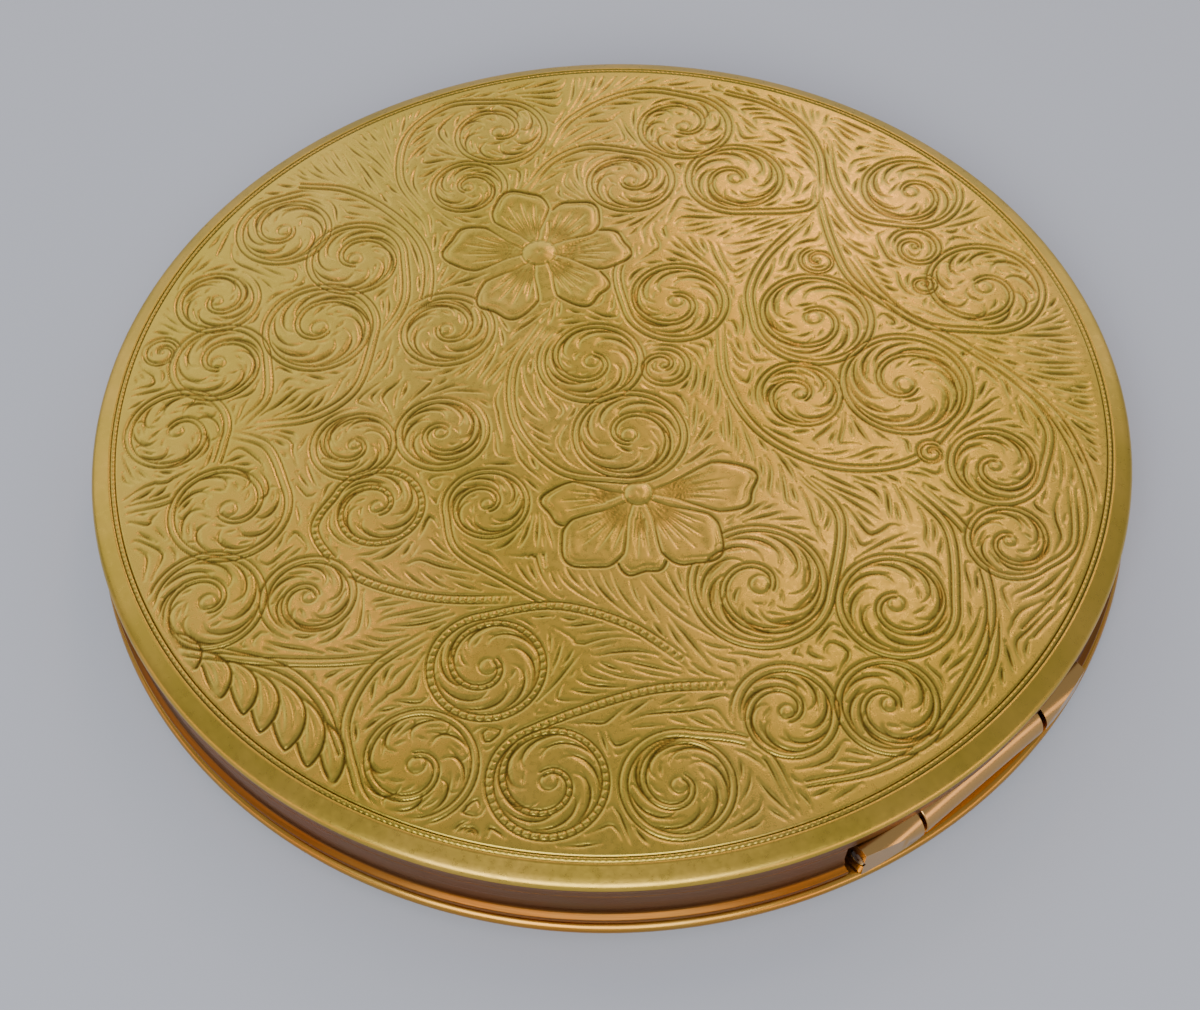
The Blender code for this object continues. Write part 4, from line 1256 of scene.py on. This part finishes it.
def hinge():
    bore = arc(HINGE_Y, HINGE_Z, 0.6, 0, 360, 32)[:-1]
    for node, body, leg in (
        ("hinge_knuckle_left", "base", "down"), ("hinge_knuckle_right", "base", "down"),
        ("hinge_knuckle_centre", "lid", "up"),
    ):
        low, high = limits(node)
        mesh = extruded_mesh(node + "_form", barrel_outline(leg), "X", low[0], high[0])
        made = make_object(node + "_form", mesh, LOOKS["rose"], body, (node,))
        cut_with(made, extruded_mesh("bore", bore, "X", low[0] - 1, high[0] + 1))
        cut_with(made, turned_mesh("outline",
                [(0, 0), (base_high[0], 0), (base_high[0], 9), (0, 9)], 720), "INTERSECT")
        made.data.shade_smooth()
        made.data.set_sharp_from_angle(angle=math.radians(35))
        bevel(made, 0.14, 4)


# ---- the catch spring -----------------------------------------------------------------------
def spring():
    """The catch spring as a wound wire along its CAD node's length."""
    low, high = limits("catch_spring")
    wire, coil, turns, steps, sides = 0.14, 0.5, 5, 24, 8
    middle = (low[2] + high[2]) / 2
    points, faces = [], []
    for i in range(turns * steps + 1):
        a = math.tau * i / steps
        y = low[1] + wire + (high[1] - low[1] - 2 * wire) * i / (turns * steps)
        for k in range(sides):
            b = math.tau * k / sides
            r = coil + wire * math.cos(b)
            points.append((r * math.cos(a), y + wire * math.sin(b), middle + r * math.sin(a)))
    for i in range(turns * steps):
        for k in range(sides):
            m = (k + 1) % sides
            a, b = i * sides, (i + 1) * sides
            faces.append([a + k, a + m, b + m, b + k])
    last = turns * steps * sides
    faces += [list(range(sides)), [last + k for k in reversed(range(sides))]]
    mesh = fix_normals(mesh_from("spring_coil", points, faces, None), 60)
    made = make_object("spring_coil", mesh, LOOKS["steel"], "base", ("catch_spring",))
    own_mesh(made)


# ---- CAD nodes that stay --------------------------------------------------------------------
def finish_nodes():
    looks = {
        "hinge_pin": "steel", "door_hinge_pin": "steel", "catch_hook": "steel",
        "lid_strike": "steel", "mirror_backing": "card",
        "catch_button": "rose", "catch_guide": "inner", "door_lift_tab": "inner",
    }
    replaced = {
        "lid_shell", "base_shell", "base_bezel", "deck_plate", "powder_well", "sifter_ring",
                "powder_fill",
        "sifter_gauze", "powder_puff", "puff_ribbon", "powder_door", "mirror_glass", "mirror_bezel",
        "hinge_knuckle_left", "hinge_knuckle_right", "hinge_knuckle_centre", "catch_spring",
    }
    for name, made in frame["nodes"].items():
        if name in replaced or made.type != "MESH":
            continue
        look = LOOKS[looks.get(name, "inner")]
        if not made.data.materials:
            made.data.materials.append(look)
        for place in made.material_slots:
            place.material = look


# ---- the floor, the light and the camera ----------------------------------------------------
def stage_and_camera():
    size = 1.2
    mesh = bpy.data.meshes.new("floor")
    mesh.from_pydata([(-size, -size, 0), (size, -size, 0), (size, size, 0), (-size, size, 0)], [],
            [(0, 1, 2, 3)])
    floor = bpy.data.objects.new("floor", mesh)
    bpy.context.scene.collection.objects.link(floor)
    pale = Look("pale floor", (0.50, 0.545, 0.63), 0.9, 0.0)
    mesh.materials.append(pale.material)

    def lamp(name, place, aim, width, height, power, colour):
        data = bpy.data.lights.new(name, "AREA")
        data.shape = "RECTANGLE"
        data.size, data.size_y = width, height
        data.energy = power
        data.color = colour
        made = bpy.data.objects.new(name, data)
        made.location = turned_point(*place) * MM
        made.rotation_euler = (turned_point(*aim) * MM - made.location).to_track_quat("-Z",
                "Y").to_euler()
        bpy.context.scene.collection.objects.link(made)

    for spec in LAMPS:
        lamp(*spec)

    world = bpy.data.worlds.new("studio")
    bpy.context.scene.world = world
    world.use_nodes = True
    world.node_tree.nodes["Background"].inputs["Color"].default_value = (*WORLD_COLOUR, 1)
    world.node_tree.nodes["Background"].inputs["Strength"].default_value = WORLD_STRENGTH

    data = bpy.data.cameras.new("camera")
    data.sensor_width = 36
    data.lens = 45.53
    data.clip_start = 0.001
    data.clip_end = 10
    camera = bpy.data.objects.new("camera", data)
    right = Vector((-0.7740, 0.6327, -0.0247))
    up = Vector((-0.5291, -0.6250, 0.5740))
    back = right.cross(up)
    turn = Matrix((right, up, back)).transposed().to_4x4()
    camera.matrix_world = Matrix.Translation(Vector((43.32, 55.45, 93.27)) * MM) @ turn
    bpy.context.scene.collection.objects.link(camera)
    bpy.context.scene.camera = camera


# Lamps in the camera's own layout (x right, y away, z up, millimetres): name, place, aim, width
# and height in metres, power in watts and colour.
LAMPS = [
    ("window", (-330, 330, 300), (0, 0, 0), 0.50, 0.40, 0.55, (1.0, 0.98, 0.92)),
    ("far sky", (180, 540, 280), (0, 0, 0), 0.8, 0.3, 0.75, (1.0, 0.92, 0.84)),
    ("behind", (-80, -480, 380), (0, 0, 0), 0.50, 0.36, 3.2, (1.0, 0.99, 0.97)),
    ("rose low left", (-99, 170, 349), (-20, -22, 7), 0.04, 0.04, 0.03, (1.0, 0.50, 0.34)),
    ("rose far right", (76, 302, 284), (18, 18, 7), 0.07, 0.05, 0.10, (1.0, 0.50, 0.36)),
    ("rose low right", (70, 172, 352), (14, -22, 7), 0.05, 0.04, 0.035, (1.0, 0.62, 0.38)),
    ("rose right", (105, 207, 331), (22, -12, 7), 0.05, 0.04, 0.04, (1.0, 0.66, 0.42)),
    ("warm left", (-420, -200, 90), (0, 0, 0), 0.45, 0.12, 0.25, (1.0, 0.60, 0.38)),
    ("near right", (300, -300, 100), (0, 0, 0), 0.4, 0.12, 0.35, (1.0, 0.70, 0.48)),
]
WORLD_COLOUR = (0.90, 0.93, 1.0)
WORLD_STRENGTH = 0.44

engraved_lid()
lid_wall()
base_pieces()
powder_surface()
gauze()
puff()
door_and_mirror()
hinge()
spring()
finish_nodes()
stage_and_camera()
